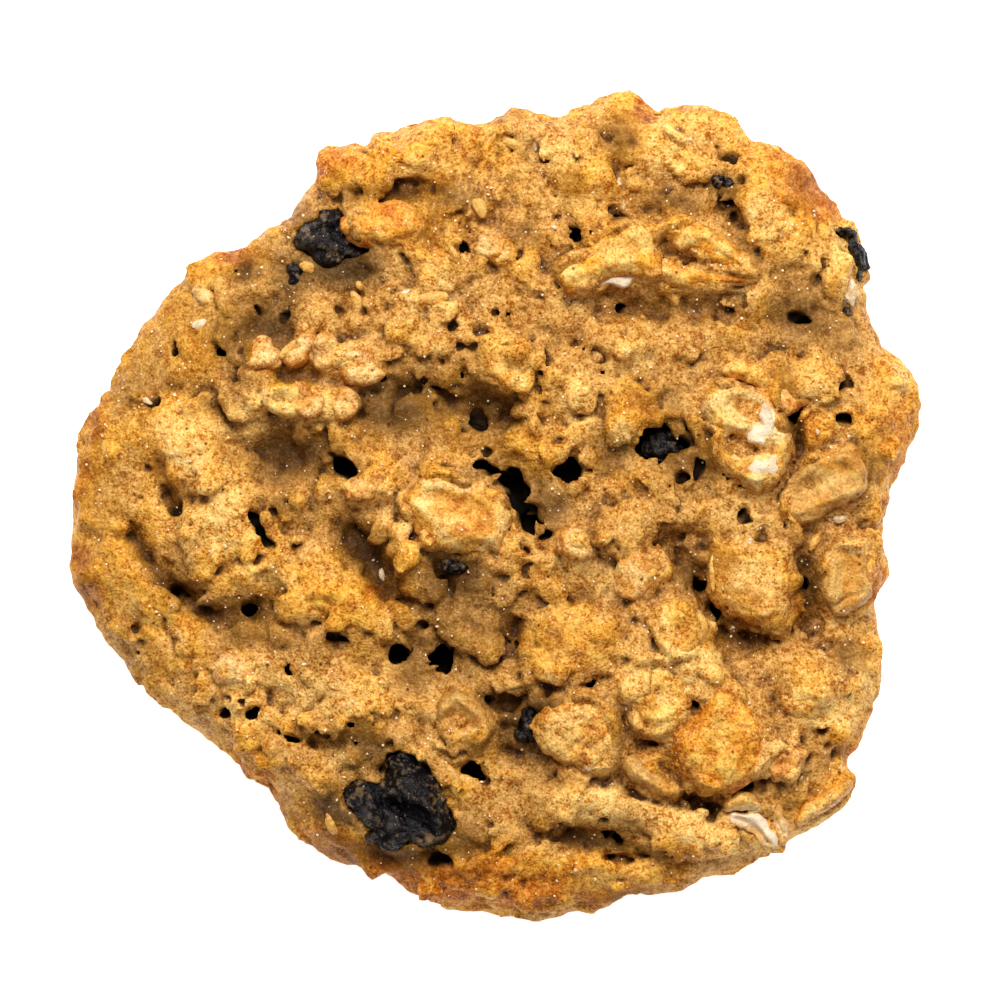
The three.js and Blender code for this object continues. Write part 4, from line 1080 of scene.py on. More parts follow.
press(
    "blueberry_in_right_pit",
    [(12.7, 4.5), (13.4, 6.0), (14.6, 6.9), (16.2, 6.3), (16.6, 5.0), (15.8, 3.9), (14.2, 3.6)],
    thick=2.6, rounding=1.3, seed=36, slot="blueberry", bed=False, folds=((1.1, 0.35), (0.6, 0.15)),
)
press(
    "blueberry_under_flake",
    [(-4.8, -5.0), (-3.8, -4.6), (-2.6, -4.9), (-2.2, -5.6), (-3.0, -6.2), (-4.3, -5.9)],
    thick=2.0, rounding=0.8, seed=37, folds=((0.8, 0.25),), **BERRY,
)
# x, y, size
BITS = [(19.6, 28.9, 0.75), (20.6, 28.4, 0.65), (-1.8, 2.4, 0.55), (31.0, 17.1, 0.6), (1.5, -7.2, 0.45)]
BIT = dict(thick=1.1, rounding=0.5, lift=0.25, folds=((0.6, 0.12),), **BERRY, **LOOSE)

ring = np.arange(0, 2 * math.pi, 0.9)
bits = []
for spot, (x, y, size) in enumerate(BITS):
    ragged = size * (1 + 0.25 * np.sin(3 * ring + spot))
    corners = list(zip(x + ragged * np.cos(ring), y + ragged * np.sin(ring)))
    bits.append(press(f"blueberry_bit_{spot + 1}", corners, seed=40 + spot, **BIT))
join_kind("blueberry_bits", bits)
print("berries:", len([name for name in pieces if "berry" in name]), "all toppings:", len(pieces))

# %% [markdown]
# The dough's mesh. With every hole and bed cut, the block can be walked at last. The packed
# model's dough stays for collisions, and this piece stands for it.

# %% Dough mesh
FLATNESS = 0.1

dough = np.maximum(dough, -batch.z)
dough_points, dough_faces = surface_points(batch, dough, FLATNESS)
cookie_dough = mesh_piece("cookie_dough_crumb", dough_points, dough_faces)
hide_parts("cookie_dough")
print("dough mesh:", len(dough_points), "points,", sum(len(face) - 2 for face in dough_faces), "triangles")

# %% [markdown]
# Small things. Splinters of oat and seed lie about, flecks of milky white sugar have not melted,
# and clear sugar crystals stand all over the top. The splinters and white flecks that show in the
# photograph are placed one by one. The crystals are strewn: each is a little cut stone with its own
# turn, dropped onto the dough by asking the block how high it is there. All of one kind are joined
# into a single mesh.

# %% Shapes of the small things
STONE = np.array([
    (1, 0.2, 0), (0.5, 0.9, 0.1), (-0.5, 0.8, -0.1), (-1, 0.0, 0.1), (-0.5, -0.9, 0), (0.6, -0.8, -0.1),
    (0.4, 0.1, 0.8), (-0.4, 0.1, 0.9), (0.3, 0.0, -0.9), (-0.4, 0.1, -0.8),
])


def stone_faces():
    """The outer faces of a stone, found by Blender's convex hull."""
    hull = bmesh.new()
    for corner in STONE:
        hull.verts.new(corner)
    hull.verts.index_update()
    bmesh.ops.convex_hull(hull, input=hull.verts)
    faces = [[vertex.index for vertex in face.verts] for face in hull.faces]
    hull.free()
    return faces


def ground(x, y):
    """The height of the dough's skin at a spot, read down a column of the block."""
    column = dough[tuple(int(round((v - l) / PITCH)) for v, l in zip((x, y), low))]
    inside = np.nonzero(column < 0)[0]
    return batch.axes[2][inside[-1]] + PITCH / 2 if len(inside) else 0.0


def oval_ball(size, turn, roughness, seed):
    """A small rounded splinter: an icosphere stretched to its size and roughened."""
    ball = bmesh.new()
    bmesh.ops.create_icosphere(ball, subdivisions=3, radius=0.5)
    points = np.array([vertex.co for vertex in ball.verts])
    faces = [[vertex.index for vertex in face.verts] for face in ball.faces]
    ball.free()
    wobble = np.random.default_rng(seed).normal(0, 1, (3, 3))
    points = points * (1 + roughness * np.sin(points @ wobble * 7).sum(1, keepdims=True))
    return points * size @ turned((turn, 0.15, 0.1)), faces


def strew(name, shapes):
    """Joins many little shapes, each its points and faces, into one piece."""
    points, faces, start = [], [], 0
    for shape_points, shape_faces in shapes:
        points.append(shape_points)
        faces += [[index + start for index in face] for face in shape_faces]
        start += len(shape_points)
    return mesh_piece(name, np.concatenate(points), faces)


stone = stone_faces()
print("a stone has", len(STONE), "corners and", len(stone), "faces")

# %% Splinters, flecks and crystals
# x, y, length, width, turn in degrees
SPLINTERS = [
    (-12.2, 18, 2.1, 1, -65), (-1.4, 26.3, 1.9, 1.2, -65), (-14.5, -28.2, 2.1, 0.9, -70),
    (-3.7, -24.3, 3.2, 1.2, -70), (-16.6, 21, 1.4, 1, -30), (-8.1, -17.9, 2, 0.9, -30),
    (28.2, -3.2, 1.8, 0.8, 60), (19.1, -6, 3.2, 0.6, 90), (-12, 19.4, 0.9, 0.6, -60),
    (-18.1, 13.8, 2.6, 0.9, 40), (1.6, 31.9, 2.6, 0.9, -30), (-5.4, 18.3, 2.9, 1.2, 5),
    (23.9, -9.4, 1.6, 0.8, 20),
]
WHITE_FLECKS = [
    (-26, 16, 1.6, 1, 0), (-31, 9.3, 1.2, 0.5, -25), (-7.9, 18.8, 0.8, 0.5, 10),
    (5.2, 24.5, 0.7, 0.4, -20), (10.9, 28.5, 0.4, 0.8, 0), (11.3, 26.5, 0.3, 0.9, 0),
    (-10, -6.2, 0.5, 1.3, 15), (22.4, -3.2, 0.6, 0.7, 0), (31.3, 19, 1.4, 2.4, 15),
    (31.7, 23.9, 0.8, 0.9, 0), (3.3, 31.8, 0.6, 1, 40), (17.1, 32.3, 0.7, 0.4, 0),
    (28.4, 6.4, 0.4, 0.6, 0), (-16.9, -14, 0.5, 0.4, 0), (30.4, -1.2, 1.2, 0.7, 10),
    (26.9, -24.1, 0.9, 0.6, 20),
]
for name, rows, thick, roughness, slot in [
    ("oat_splinters", SPLINTERS, 0.75, 0.05, "oat_flake"),
    ("sugar_flecks", WHITE_FLECKS, 0.5, 0.12, "oat_curl"),
]:
    shapes = []
    for step, (x, y, length, width, turn) in enumerate(rows):
        points, faces = oval_ball((length, width, thick), math.radians(turn), roughness, step)
        if ground(x, y) > 1.0:
            shapes.append((points + [x, y, ground(x, y)], faces))
    strew(name, shapes)

CRYSTAL_COUNT, CRYSTAL_SIZES, DEEPEST_SEAT = 900, (0.06, 0.15), 1.2
strewn = np.random.default_rng(77)
crystals = []
while len(crystals) < CRYSTAL_COUNT:
    x, y = strewn.uniform(low[:2], high[:2])
    height = ground(x, y)
    planned_top = top_map[int((x - low[0]) / PITCH), int((y - low[1]) / PITCH)]
    if math.hypot(x, y) < 0.97 * reach(x, y) and height > planned_top - DEEPEST_SEAT:
        size = strewn.uniform(*CRYSTAL_SIZES)
        stone_points = STONE * size * strewn.uniform(0.7, 1.3, 3) @ turned(strewn.uniform(0, 6.3, 3))
        crystals.append((stone_points + [x, y, height + size * 0.4], stone))
crystal_piece = strew("sugar_crystals", crystals)
crystal_piece.data.polygons.foreach_set("use_smooth", np.zeros(len(crystal_piece.data.polygons), bool))
print("splinters:", len(SPLINTERS), "flecks:", len(WHITE_FLECKS), "crystals:", len(crystals))

# %% [markdown]
# Where the oven reached. High spots and the rim toast first, and hollows get a painted brown
# shade, so the finish needs to know how high each spot stands. The share of solid cells in a box
# around a point tells it: about half on a flat, less on a crest, more in a hollow. Flat maps add
# what the shape can't tell: lumps that came out golden or pale, the browned rim, juice around the
# berries, and painted shade where the dough lies in deep shade and painted light where it
# catches the light.

# %% Patches of stain, painted shade, painted light and toast
# x, y, length, width, turn in degrees, strength, in all three
STAINS = [
    (-13, 20.6, 7.6, 3.2, 8, 0.9), (-18.8, 17, 3, 7, -10, 0.6), (-17.8, 21.6, 3, 5, 0, 0.5),
    (-11.5, -22.6, 7, 4, -20, 0.6), (-14.4, -27.4, 4.4, 4.4, -30, 0.8), (-15.6, 24, 5, 5.6, 0, 0.6),
    (2.6, -20.8, 5.2, 4.4, 0, 0.7), (10.6, 5.4, 5, 3.4, 0, 0.7), (1.6, -7.6, 8, 3.4, 0, 0.5),
    (7.2, -7.8, 3, 2, 0, 0.4), (20, 28.2, 4, 3, 0, 0.6), (33.2, 22.6, 1.4, 5, 0, 0.3),
    (-1.9, 2.9, 2.4, 1.6, 0, 0.7), (-24.3, 9.3, 5, 2.6, 0, 0.5), (-23, 12.6, 3.4, 2.6, 0, 0.4),
    (22.6, 14.2, 9, 2.4, 0, 0.35),
]
# painted shade: dark ovals where the dough lies in shade
SHADED = [
    (-7.4, 9.3, 10, 5, 3, 0.95), (-1.6, 9.4, 4, 4.4, 0, 0.8), (0.4, 8.2, 4.6, 3.4, 30, 0.6),
    (-17.6, 4.6, 10, 4.4, -8, 0.95), (-19, -0.2, 3.4, 2, 0, 0.6), (-22, 20.7, 2.6, 1.7, 30, 0.8),
    (-9.5, 27.9, 10, 1.9, 6, 0.6), (-5, 26.2, 4.4, 3.6, 0, 0.4), (-22.6, 15.6, 5, 8, -30, 0.55),
    (-18.5, 11.3, 7, 1.6, 0, 0.5), (-29.3, 3, 1.6, 4.8, 20, 0.6), (-27, 0.3, 4, 1.1, 5, 0.4),
    (-31.4, -4, 1.9, 4.4, 40, 0.6), (-27.4, -7.8, 8, 2.2, -35, 0.75), (-21.6, -9.2, 7, 3, 0, 0.75),
    (-18, -11.4, 10, 2.6, -5, 0.5), (-12, -4.2, 7, 3, -52, 0.9), (-9, -7.4, 2.4, 3, 0, 0.7),
    (-3.6, -6.2, 6, 4, 0, 1), (-4.6, -9.4, 6.4, 6.4, 0, 0.5), (-6.4, -12.8, 7.6, 3.4, 0, 0.7),
    (-3, -14.6, 5, 3, 0, 0.5), (1.4, -12.4, 3, 6, 10, 0.4), (2.4, -18.6, 4.6, 5.6, 0, 0.85),
    (-0.8, -17.4, 2.4, 2, 0, 0.6), (-2, -21.4, 4, 2.4, 0, 0.4), (16, 4.8, 7.6, 4.8, -35, 0.8),
    (3.4, 0.6, 4.2, 6.6, 25, 0.7), (9.2, 13.2, 2.4, 3, 30, 0.6), (15.6, 17.4, 15, 2.6, 0, 0.45),
    (26.4, 16.4, 4.6, 4.4, -30, 0.6), (28.6, 18.4, 4, 5.6, 0, 0.4), (20.8, 26.8, 2.2, 4.6, 10, 0.6),
    (22.6, 22.6, 1.8, 4.6, 35, 0.6), (10.6, 32.2, 3.6, 5.4, 30, 0.45), (26.3, 7.6, 2, 5.4, 10, 0.75),
    (27.7, -7.4, 2.6, 4.2, 0, 0.8), (27.4, -2.8, 4.4, 1.6, -10, 0.5), (17, -5.4, 3, 4.8, 10, 0.75),
    (22.6, -11.4, 7.4, 2.2, 5, 0.75), (13.4, -29.2, 1.4, 1.4, 0, 0.3), (9.4, -29.8, 7.4, 1.6, -10, 0.85),
    (15, -31, 8, 2, -10, 0.4), (16.6, -26, 7, 0.9, -15, 0.4), (4.2, -24.2, 3.6, 2.4, 0, 0.4),
    (-1.6, 26.8, 3.6, 2.4, 0, 0.4), (10.8, -20, 1.6, 5, 0, 0.5), (-9, -30.9, 13, 3.2, -5, 0.85),
    (-2.8, -29, 4, 4.4, 0, 0.6), (-12, -20.4, 9, 1.8, -5, 0.5), (21.8, -24.9, 4.6, 1.4, 10, 0.7),
    (24.6, -24.8, 2.4, 2.2, 0, 0.5), (-13, 21.6, 7, 5, 0, 0.9), (-11.4, 8.6, 3.6, 4, 0, 0.8),
    (25.6, 17.6, 5, 3.4, 0, 0.5), (12, 10.4, 2, 5, 0, 0.3), (31.2, 17.2, 2, 2.6, 0, 0.6),
    (-7.6, -15.2, 4, 2.8, 0, 0.4), (3.2, 15.4, 3, 2, 0, 0.3), (-35.6, -1, 4, 18, 3, 0.3),
    (-19, 2.6, 3, 3, 0, 0.6), (-14, 22.4, 4, 3, 0, 0.5), (-6.6, 24, 3, 3, 0, 0.4),
    (31, 14.6, 3, 3.6, 0, 0.5), (5.4, 0.4, 3, 3, 0, 0.5), (-10.4, -3.4, 5, 4, -50, 0.6),
    (-19.6, 15.4, 5, 3.4, 0, 0.6), (-17.6, 19.6, 3.4, 4, 0, 0.5), (-9, 8, 4, 4, 0, 0.6),
    (15, 27.2, 5, 2.2, 0, 0.6), (-4, 27.4, 5, 2.4, 0, 0.5), (11.8, 33, 4, 4.6, 20, 0.5),
    (14.6, 9.6, 4, 3, 0, 0.4), (28.6, 16, 4, 3, 0, 0.4), (-33, 10, 5, 4, 50, 0.4),
    (-28.4, 10.8, 5, 2, 0, 0.4), (-21, 15, 6, 4, 0, 0.5), (-14.4, 22, 4, 3, 0, 0.4),
    (2.4, 23.6, 3.6, 2.6, 0, 0.5), (7, 28.4, 3, 3.4, 0, 0.5), (-2.6, 6, 9, 2.4, 0, 0.4),
    (-0.8, -11.4, 3, 3, 0, 0.5), (5.6, -1.6, 3, 3.4, 0, 0.4), (25.6, 11.2, 2.4, 3, 0, 0.5),
    (33, 4, 3, 3, 0, 0.5), (31.6, -13.6, 3, 3, 0, 0.4), (12, -35, 4, 2, 0, 0.4),
    (-18.6, -27, 3, 3, 0, 0.4), (1, 34.6, 4, 2.4, 0, 0.4), (-23, -11.6, 4, 2, -20, 0.5),
    (-32, -11, 4, 3, -40, 0.4), (-28, 16.6, 16, 7, 50, 0.3), (-20.6, 21.6, 5, 4, 0, 0.5),
    (-12, 3, 1.6, 1.6, 0, 0.3), (16.6, 26.6, 4, 1.8, 0, 0.5), (31.4, 2.6, 5, 2.4, 10, 0.5),
    (4.2, -17.8, 4, 2.6, 0, 0.8), (30.4, 1.6, 7, 2, 10, 0.6), (22.4, -7.8, 3, 2, 0, 0.4),
    (-4, -30, 5, 2.2, 0, 0.6), (-14.6, -26.4, 2.6, 4.4, 0, 0.7), (4.8, -11.6, 8, 3, 0, 0.3),
    (19.6, -4.6, 3.4, 2.6, 0, 0.4), (7, -24.4, 3, 1.6, 0, 0.5), (7.2, 24.2, 3, 2, 0, 0.4),
    (9.8, 3.6, 3, 2, 0, 0.5), (27.4, 28.2, 4.4, 5, 40, 0.4), (0.6, 3.6, 5, 3, -30, 0.6),
    (-10.4, -21.6, 5, 3, -10, 0.7), (-18, 26, 3, 3, 0, 0.4), (-24.2, 8.8, 4, 2.4, 0, 0.4),
    (-2.5, 13.6, 3, 2, 0, 0.4), (-37, -8, 3, 6, 0, 0.4), (-32, -15, 5, 3, -40, 0.4),
    (12, -34.5, 9, 2, 5, 0.4), (25.5, 21, 3, 3, 0, 0.4), (11, 3.5, 3, 2.4, 0, 0.4),
    (31, -13, 3, 3, 0, 0.4), (4, -18.5, 3.4, 3, 0, 0.5), (20, -5, 3, 2.4, 0, 0.4),
    (-7.5, -15, 3, 2.4, 0, 0.4),
]
# painted light: ovals where the dough catches the light, some of them also paler lumps
LIT = [
    (-27.5, 5.8, 6, 7.6, 0, 0.65), (-24.8, -0.8, 7, 7, 0, 0.8), (-20.5, 13.3, 2.6, 2.9, 0, 0.8),
    (-17.4, 13.5, 2.6, 1.8, 40, 0.8), (-15, 13.3, 2.4, 2.8, 0, 0.9), (-11.8, 12.4, 4.4, 3.6, -20, 0.7),
    (-17.4, 8.6, 13, 3.6, -3, 0.95), (-22, 7.4, 5.6, 3.6, 0, 1), (-17, 8, 10, 3, 0, 0.6),
    (-15.2, 11.4, 3, 2, 0, 0.6), (-10.6, 0.8, 5, 2, 0, 0.7), (-29.4, 1, 2.4, 3, 0, 0.5),
    (-16.5, 16.9, 2.8, 4.4, -10, 0.3), (14, -17, 9, 7, 0, 0.7), (15, -26.2, 14, 2.4, -10, 0.8),
    (-11.9, 1.6, 4.4, 2.4, 10, 0.9), (-26, 18.4, 2.6, 2.6, 0, 0.8), (-5.6, 18.4, 6, 3, 5, 0.5),
    (-3, 17, 11, 6.6, 0, 0.45), (11.4, 13, 6, 4, 0, 0.9), (20.4, 18.8, 6, 2.6, 0, 0.8),
    (7.6, 18, 4, 2, -15, 0.8), (32, 18.6, 2.4, 2.6, 0, 0.6), (-8.2, 21.4, 2.6, 3, 0, 0.5),
    (0.9, 12.6, 5, 4.6, 0, 0.6), (2, 10.6, 2, 1.6, 0, 0.6), (7.6, 9.6, 4, 6.4, -10, 0.75),
    (11.6, 6.4, 3, 2.6, 0, 0.9), (-4.6, 9, 4.6, 2.4, 0, 0.9), (-17.4, -10.6, 4, 2.6, 0, 0.9),
    (-8.8, 21, 2.6, 4, 0, 0.7), (-7, 29.4, 3, 3.6, 0, 0.7), (-12.2, 28.4, 2.6, 2.4, 0, 0.6),
    (-20.6, 20.4, 2, 4, 0, 0.5), (21.6, 25.4, 2.4, 2.6, 0, 0.8), (31.2, 18, 2.4, 4, 0, 0.8),
    (12, 5.8, 3, 3, 0, 0.8), (6.6, 4.6, 3, 2, 0, 0.5), (22, 11.4, 4, 2.4, 0, 0.7),
    (22.6, 3, 6, 2, 20, 0.5), (-10.6, -14, 3, 3, 0, 0.6), (15, 31.2, 6, 5.4, -45, 0.9),
    (4.8, 31.4, 8, 3.6, -15, 0.8), (6, 26.8, 8, 3, 0, 0.4), (19, 33.6, 9, 2.4, -15, 0.5),
    (24.2, 24.6, 4.4, 7.4, 20, 0.7), (-0.4, 22.8, 4.4, 2.6, 0, 0.5), (-4.6, 21, 4, 3, 0, 0.5),
    (27.6, 9.6, 5, 5, 0, 0.8), (29.6, 21.6, 3, 4, 0, 0.6), (22.4, 11.4, 4, 2, 0, 0.6),
    (7, -3.8, 3.4, 4.2, 0, 0.8), (11.4, -2, 5, 4.4, 0, 0.5), (12.6, -6.4, 5.6, 4.4, 30, 0.7),
    (17.6, -14.2, 5, 5, 0, 0.9), (21.8, 25.2, 2.4, 2.4, 0, 0.6), (22.4, -6.4, 8, 5.6, -35, 0.6),
    (6.6, -11.6, 8, 6, 10, 0.35), (15.4, -13.4, 8.6, 3.6, 0, 0.7), (9, -5.2, 8, 3, -35, 0.5),
    (22, -2, 4.6, 3.4, 0, 0.5), (1.8, -15.4, 3.2, 2.6, 0, 0.8), (-9.6, -11, 3, 3.4, 0, 0.6),
    (-22.6, -14.6, 5, 3.2, -20, 0.8), (-22.8, -18, 7, 3.4, -20, 0.7), (-15.6, -16.6, 11, 4.4, -8, 0.9),
    (-13, -22.4, 3, 2, -30, 0.5), (-9, -15.6, 2.6, 4.6, 0, 0.6), (25.4, -22.6, 5, 5, 0, 1),
    (27.6, -18.6, 5, 2.6, 0, 0.8), (10, -24.2, 3.6, 2.4, -20, 0.6), (28.4, -27.6, 4, 2.4, 40, 0.5),
    (9, -26, 12, 3.8, -12, 0.95), (16.6, -27.8, 9, 3, -22, 0.95), (20.6, -29.8, 5, 3, -25, 0.6),
    (7.4, 18.2, 2.4, 2, 20, 0.5), (-25.6, 19.6, 4, 3, -30, 0.5), (32.4, -14.6, 2.4, 5, 10, 0.6),
    (31.2, -18.4, 3.6, 4, 0, 0.6), (31.6, 22.4, 1.6, 3.4, 0, 0.5), (31.6, 19.2, 1.6, 2.6, 0, 0.8),
    (33.4, 9.6, 3.6, 5, 10, 0.4), (19.8, 14.4, 5, 2, 0, 0.3), (22, 0.4, 5, 2.4, 0, 0.4),
    (-29, -11.6, 6, 3.4, -40, 0.4), (24.8, 2.2, 3, 3, 0, 0.5), (30.6, -4.2, 3, 2.4, 0, 0.6),
    (25, -29.4, 6, 2.4, 30, 0.9), (24.6, -23.4, 4, 3, 0, 0.6), (21, -26.6, 6, 2, -10, 0.7),
    (9.6, -23.8, 4, 2.4, 0, 0.6), (10, -28, 10, 1.6, -10, 0.6), (12, -33, 9, 3, 10, 0.5),
    (-6.4, -21.6, 7, 2, 0, 0.5), (-11, -25.6, 2, 2, 0, 0.3), (7.4, -5, 4, 2, 0, 0.8),
    (22.4, -1.6, 4, 2.4, -20, 0.8), (10.6, -7.4, 3, 2, 0, 0.5), (22.6, -11, 4, 1.6, 0, 0.5),
    (31.4, -4, 3, 3, 0, 0.7), (30, -11, 3, 2.4, 0, 0.5), (7.8, 17.2, 4, 2, 0, 0.7),
    (12.4, 19.6, 3, 2, 0, 0.4), (19.4, 18.4, 6, 2, 0, 0.7), (27.6, 21.4, 4, 3, 0, 0.6),
    (36, 11.6, 2.4, 4, 0, 0.6), (-4.6, 13.8, 4, 2, 0, 0.5), (-14, 15.6, 3, 3, 0, 0.5),
    (-2, -3.4, 5, 1.6, 0, 0.3), (-9, -1.2, 4, 2, -40, 0.6), (-14, -22.8, 2.4, 3, 0, 0.5),
    (-24.6, -18.4, 4, 3, 0, 0.6), (20, -9.6, 5, 2.4, 0, 0.5), (31, 23.4, 2.4, 3, 0, 0.6),
    (-19.5, -6.5, 6, 3, -20, 0.6), (-17.5, -10.8, 5, 2.4, 0, 0.7), (28.5, -17.5, 4, 3, 0, 0.6),
    (29, -28, 5, 2.4, 30, 0.7), (-4.5, -21.5, 4, 2.4, 0, 0.6), (15.5, -4, 3.4, 2.4, 0, 0.6),
    (12, -24.8, 7, 2, -15, 0.6), (-8, -2, 7, 2.4, -25, 0.5),
]
# x, y, length, width, turn, strength of golden toast, or of brown where it is over 1
TOASTED = [
    (-30, -9, 12, 6, -50, 1), (-31.5, 6, 6, 14, 10, 0.9), (-24, -17, 14, 6, -35, 1),
    (-12, -31, 14, 4, -25, 1.7), (0, -33.5, 20, 5, 0, 1.6), (12, -32.5, 12, 4.4, 10, 1.1),
    (-14, -29.8, 5, 3, -20, 1.8), (28, 27.6, 5, 7, 40, 1.7), (34, 9, 6, 8, 10, 1.2),
    (12, 34, 8, 4.4, 10, 1.2), (1.5, 34.8, 5, 3, 10, 1.2), (-14, 30.4, 5, 4, 10, 1.6),
    (-23, 21.8, 5, 3, 10, 1.7), (33.8, -7, 3, 4, 0, 1.4), (31, -23.6, 3, 3, 0, 1.5),
    (-26, 15, 12, 8, 45, 0.7), (-4, 30, 14, 6, 10, 0.8), (20, 33.5, 12, 4, -20, 0.9),
    (24, 25, 5, 7, 20, 1), (-18, -8, 10, 5, -25, 1.1), (30.5, -20, 5, 10, 0, 0.7),
    (-36, 0, 4, 20, 0, 1.2), (-20, -26, 4, 10, 40, 1.3), (8, 29.5, 8, 5, 0, 0.6),
]
TOAST_OF = {"crumb": 0.25, "golden": 0.8, "pale": 0.0, "browned": 1.7}
PLAIN_TOAST, RIM_TOAST = 0.1, 0.45
print("patches:", len(STAINS), len(SHADED), len(LIT), len(TOASTED))


# %% Attributes on the dough
def patch(row):
    """A soft oval patch, 1 in the middle and fading past its edge."""
    return np.exp(-0.9 * oval(X, Y, row) ** 1.5)


toast_map = PLAIN_TOAST + 0.16 * batch.noise(4.0, 50, flat=True)
for lump in LUMPS:
    toast_map = toast_map + patch(lump) * (TOAST_OF[lump[6]] - PLAIN_TOAST)
for row in TOASTED:
    toast_map = toast_map + patch(row) * (row[5] - toast_map) * 0.8
toast_map = toast_map + RIM_TOAST * smooth_step(np.hypot(X, Y) / reach(X, Y), 0.90, 1.0)
print("toast from", toast_map.min().round(2), "to", toast_map.max().round(2))

for name, rows in ("stain", STAINS), ("shaded", SHADED), ("lit", LIT):
    covered = 1 - np.prod([1 - row[5] * patch(row) for row in rows], axis=0)
    give(cookie_dough, name, batch.sample(covered, dough_points))

NEAR_CELLS, FAR_CELLS = 1, 5
solid = np.clip(0.5 - dough / PITCH, 0, 1).astype(np.float32)
FIELDS = {
    "crevice": box_blur(solid, NEAR_CELLS), "valley": box_blur(solid, FAR_CELLS), "toast": toast_map,
    "shaft": shafts, "blotch": batch.noise(2.4, 70), "cloud": batch.noise(0.8, 71),
}
for name, field in FIELDS.items():
    give(cookie_dough, name, batch.sample(field, dough_points))
give(cookie_dough, "sunk", batch.sample(top_map, dough_points) - dough_points[:, 2])
print("attributes:", [a.name for a in cookie_dough.data.attributes if not a.name.startswith(".")])

# %% [markdown]
# Writing finishes as sums. A finish in Blender is a web of nodes, and a web of forty nodes is hard
# to read. Here a small class stands for one wire in that web. Adding, taking away or multiplying
# wires adds the Math node that does it, so a finish reads like a recipe. Everything else, such as a
# noise or a bump, comes from one method that takes the node's type, its settings and what goes into
# its sockets. Patterns follow a piece's own coordinates with its height counted at six tenths, so
# that grains on a steep side don't look squeezed from above.

# %% Wires
def colour(red, green, blue):
    """A colour from 0 to 255, as the eye reads it on a screen, turned into light."""
    share = np.array([red, green, blue]) / 255
    light = np.where(share > 0.04045, ((share + 0.055) / 1.055) ** 2.4, share / 12.92)
    return (*light.tolist(), 1.0)


class Wire:
    """One value on its way through a finish."""

    def __init__(self, finish, socket):
        self.finish, self.socket = finish, socket

    def sum(self, operation, *values):
        return self.finish.node("Math", {"operation": operation}, dict(enumerate(values)))

    def __add__(self, other):
        return self.sum("ADD", self, other)

    def __sub__(self, other):
        return self.sum("SUBTRACT", self, other)

    def __rsub__(self, other):
        return self.sum("SUBTRACT", other, self)

    def __mul__(self, other):
        return self.sum("MULTIPLY", self, other)

    __radd__, __rmul__ = __add__, __mul__

    def other(self, output):
        """The wire from another output of the same node."""
        return Wire(self.finish, self.socket.node.outputs[output])

    def between(self, start, end):
        """0 below start, 1 above end, and a soft slope in the middle."""
        sockets = {"Value": self, "From Min": start, "From Max": end}
        return self.finish.node("MapRange", {"interpolation_type": "SMOOTHSTEP"}, sockets)


print("a wire knows:", [name for name in vars(Wire) if name.endswith(("add__", "sub__", "mul__"))])

# %% Finishes
SIDE_STRETCH, SHAKE = 0.6, 0.18 * MM


class Finish:
    """A material with one Principled shader, and the means to add nodes to it."""

    def __init__(self, name, **constants):
        self.material = bpy.data.materials.new(name)
        self.material.use_nodes = True
        self.nodes = self.material.node_tree.nodes
        self.shader = self.nodes["Principled BSDF"]
        for socket, value in constants.items():
            self.shader.inputs[socket.replace("_", " ")].default_value = value
        stretch = {0: self.node("TexCoord", output="Object"), 1: (1.0, 1.0, SIDE_STRETCH)}
        self.place = self.node("VectorMath", {"operation": "MULTIPLY"}, stretch)
        shaken = {0: self.noise(0.5).other("Color"), 1: (SHAKE, SHAKE, SHAKE), 2: self.place}
        self.frayed_place = self.node("VectorMath", {"operation": "MULTIPLY_ADD"}, shaken)

    def node(self, kind, settings=None, sockets=None, output=0):
        """Adds a node, with its settings first and then its sockets, and returns one output."""
        made = self.nodes.new("ShaderNode" + kind)
        for name, value in (settings or {}).items():
            setattr(made, name, value)
        for name, value in (sockets or {}).items():
            self.feed(made.inputs[name], value)
        return Wire(self, made.outputs[output])

    def feed(self, socket, value):
        """Links a wire to a socket, or writes a constant into it."""
        if isinstance(value, Wire):
            self.material.node_tree.links.new(value.socket, socket)
        else:
            socket.default_value = value

    def mix(self, share, first, second, blend="MIX"):
        """Blends two colours. In this node the colour sockets are the seventh and eighth."""
        settings = {"data_type": "RGBA", "blend_type": blend}
        return self.node("Mix", settings, {0: share, 6: first, 7: second}, output=2)

    def noise(self, millimetres, detail=2.0, rough=0.5):
        sockets = {"Vector": self.place, "Scale": 1 / (millimetres * MM), "Detail": detail,
                   "Roughness": rough}
        return self.node("TexNoise", {}, sockets)

    def grains(self, millimetres):
        """How far each point is from the middle of its grain."""
        sockets = {"Vector": self.frayed_place, "Scale": 1 / (millimetres * MM)}
        return self.node("TexVoronoi", {"feature": "F1"}, sockets, "Distance")

    def dots(self, spacing, *kinds):
        """Frayed dots, one to each cell of the spacing. A kind has a radius and a share of the cells."""
        cell = self.grains(spacing)
        lot = self.node("SeparateColor", {}, {"Color": cell.other("Color")})
        made, drawn = [], 0.0
        for radius, share in kinds:
            edge = radius / spacing
            chosen = lot.sum("COMPARE", lot, drawn + share / 2, share / 2)
            made.append((1 - cell.between(edge * 0.6, edge * 1.3)) * chosen)
            drawn += share
        return made

    def kept(self, name):
        """A number that was kept on the mesh."""
        return self.node("Attribute", {"attribute_name": name}, output="Fac")

    def bump(self, height, millimetres):
        sockets = {"Height": height, "Distance": millimetres * MM, "Strength": 1.0}
        return self.node("Bump", {}, sockets)

    def wear(self, *dressed, **wires):
        """Feeds the shader and puts the finish on pieces."""
        for socket, value in wires.items():
            self.feed(self.shader.inputs[socket.replace("_", " ")], value)
        for piece in dressed:
            piece.data.materials.append(self.material)


print("a finish can:", [name for name in vars(Finish) if not name.startswith("_")])
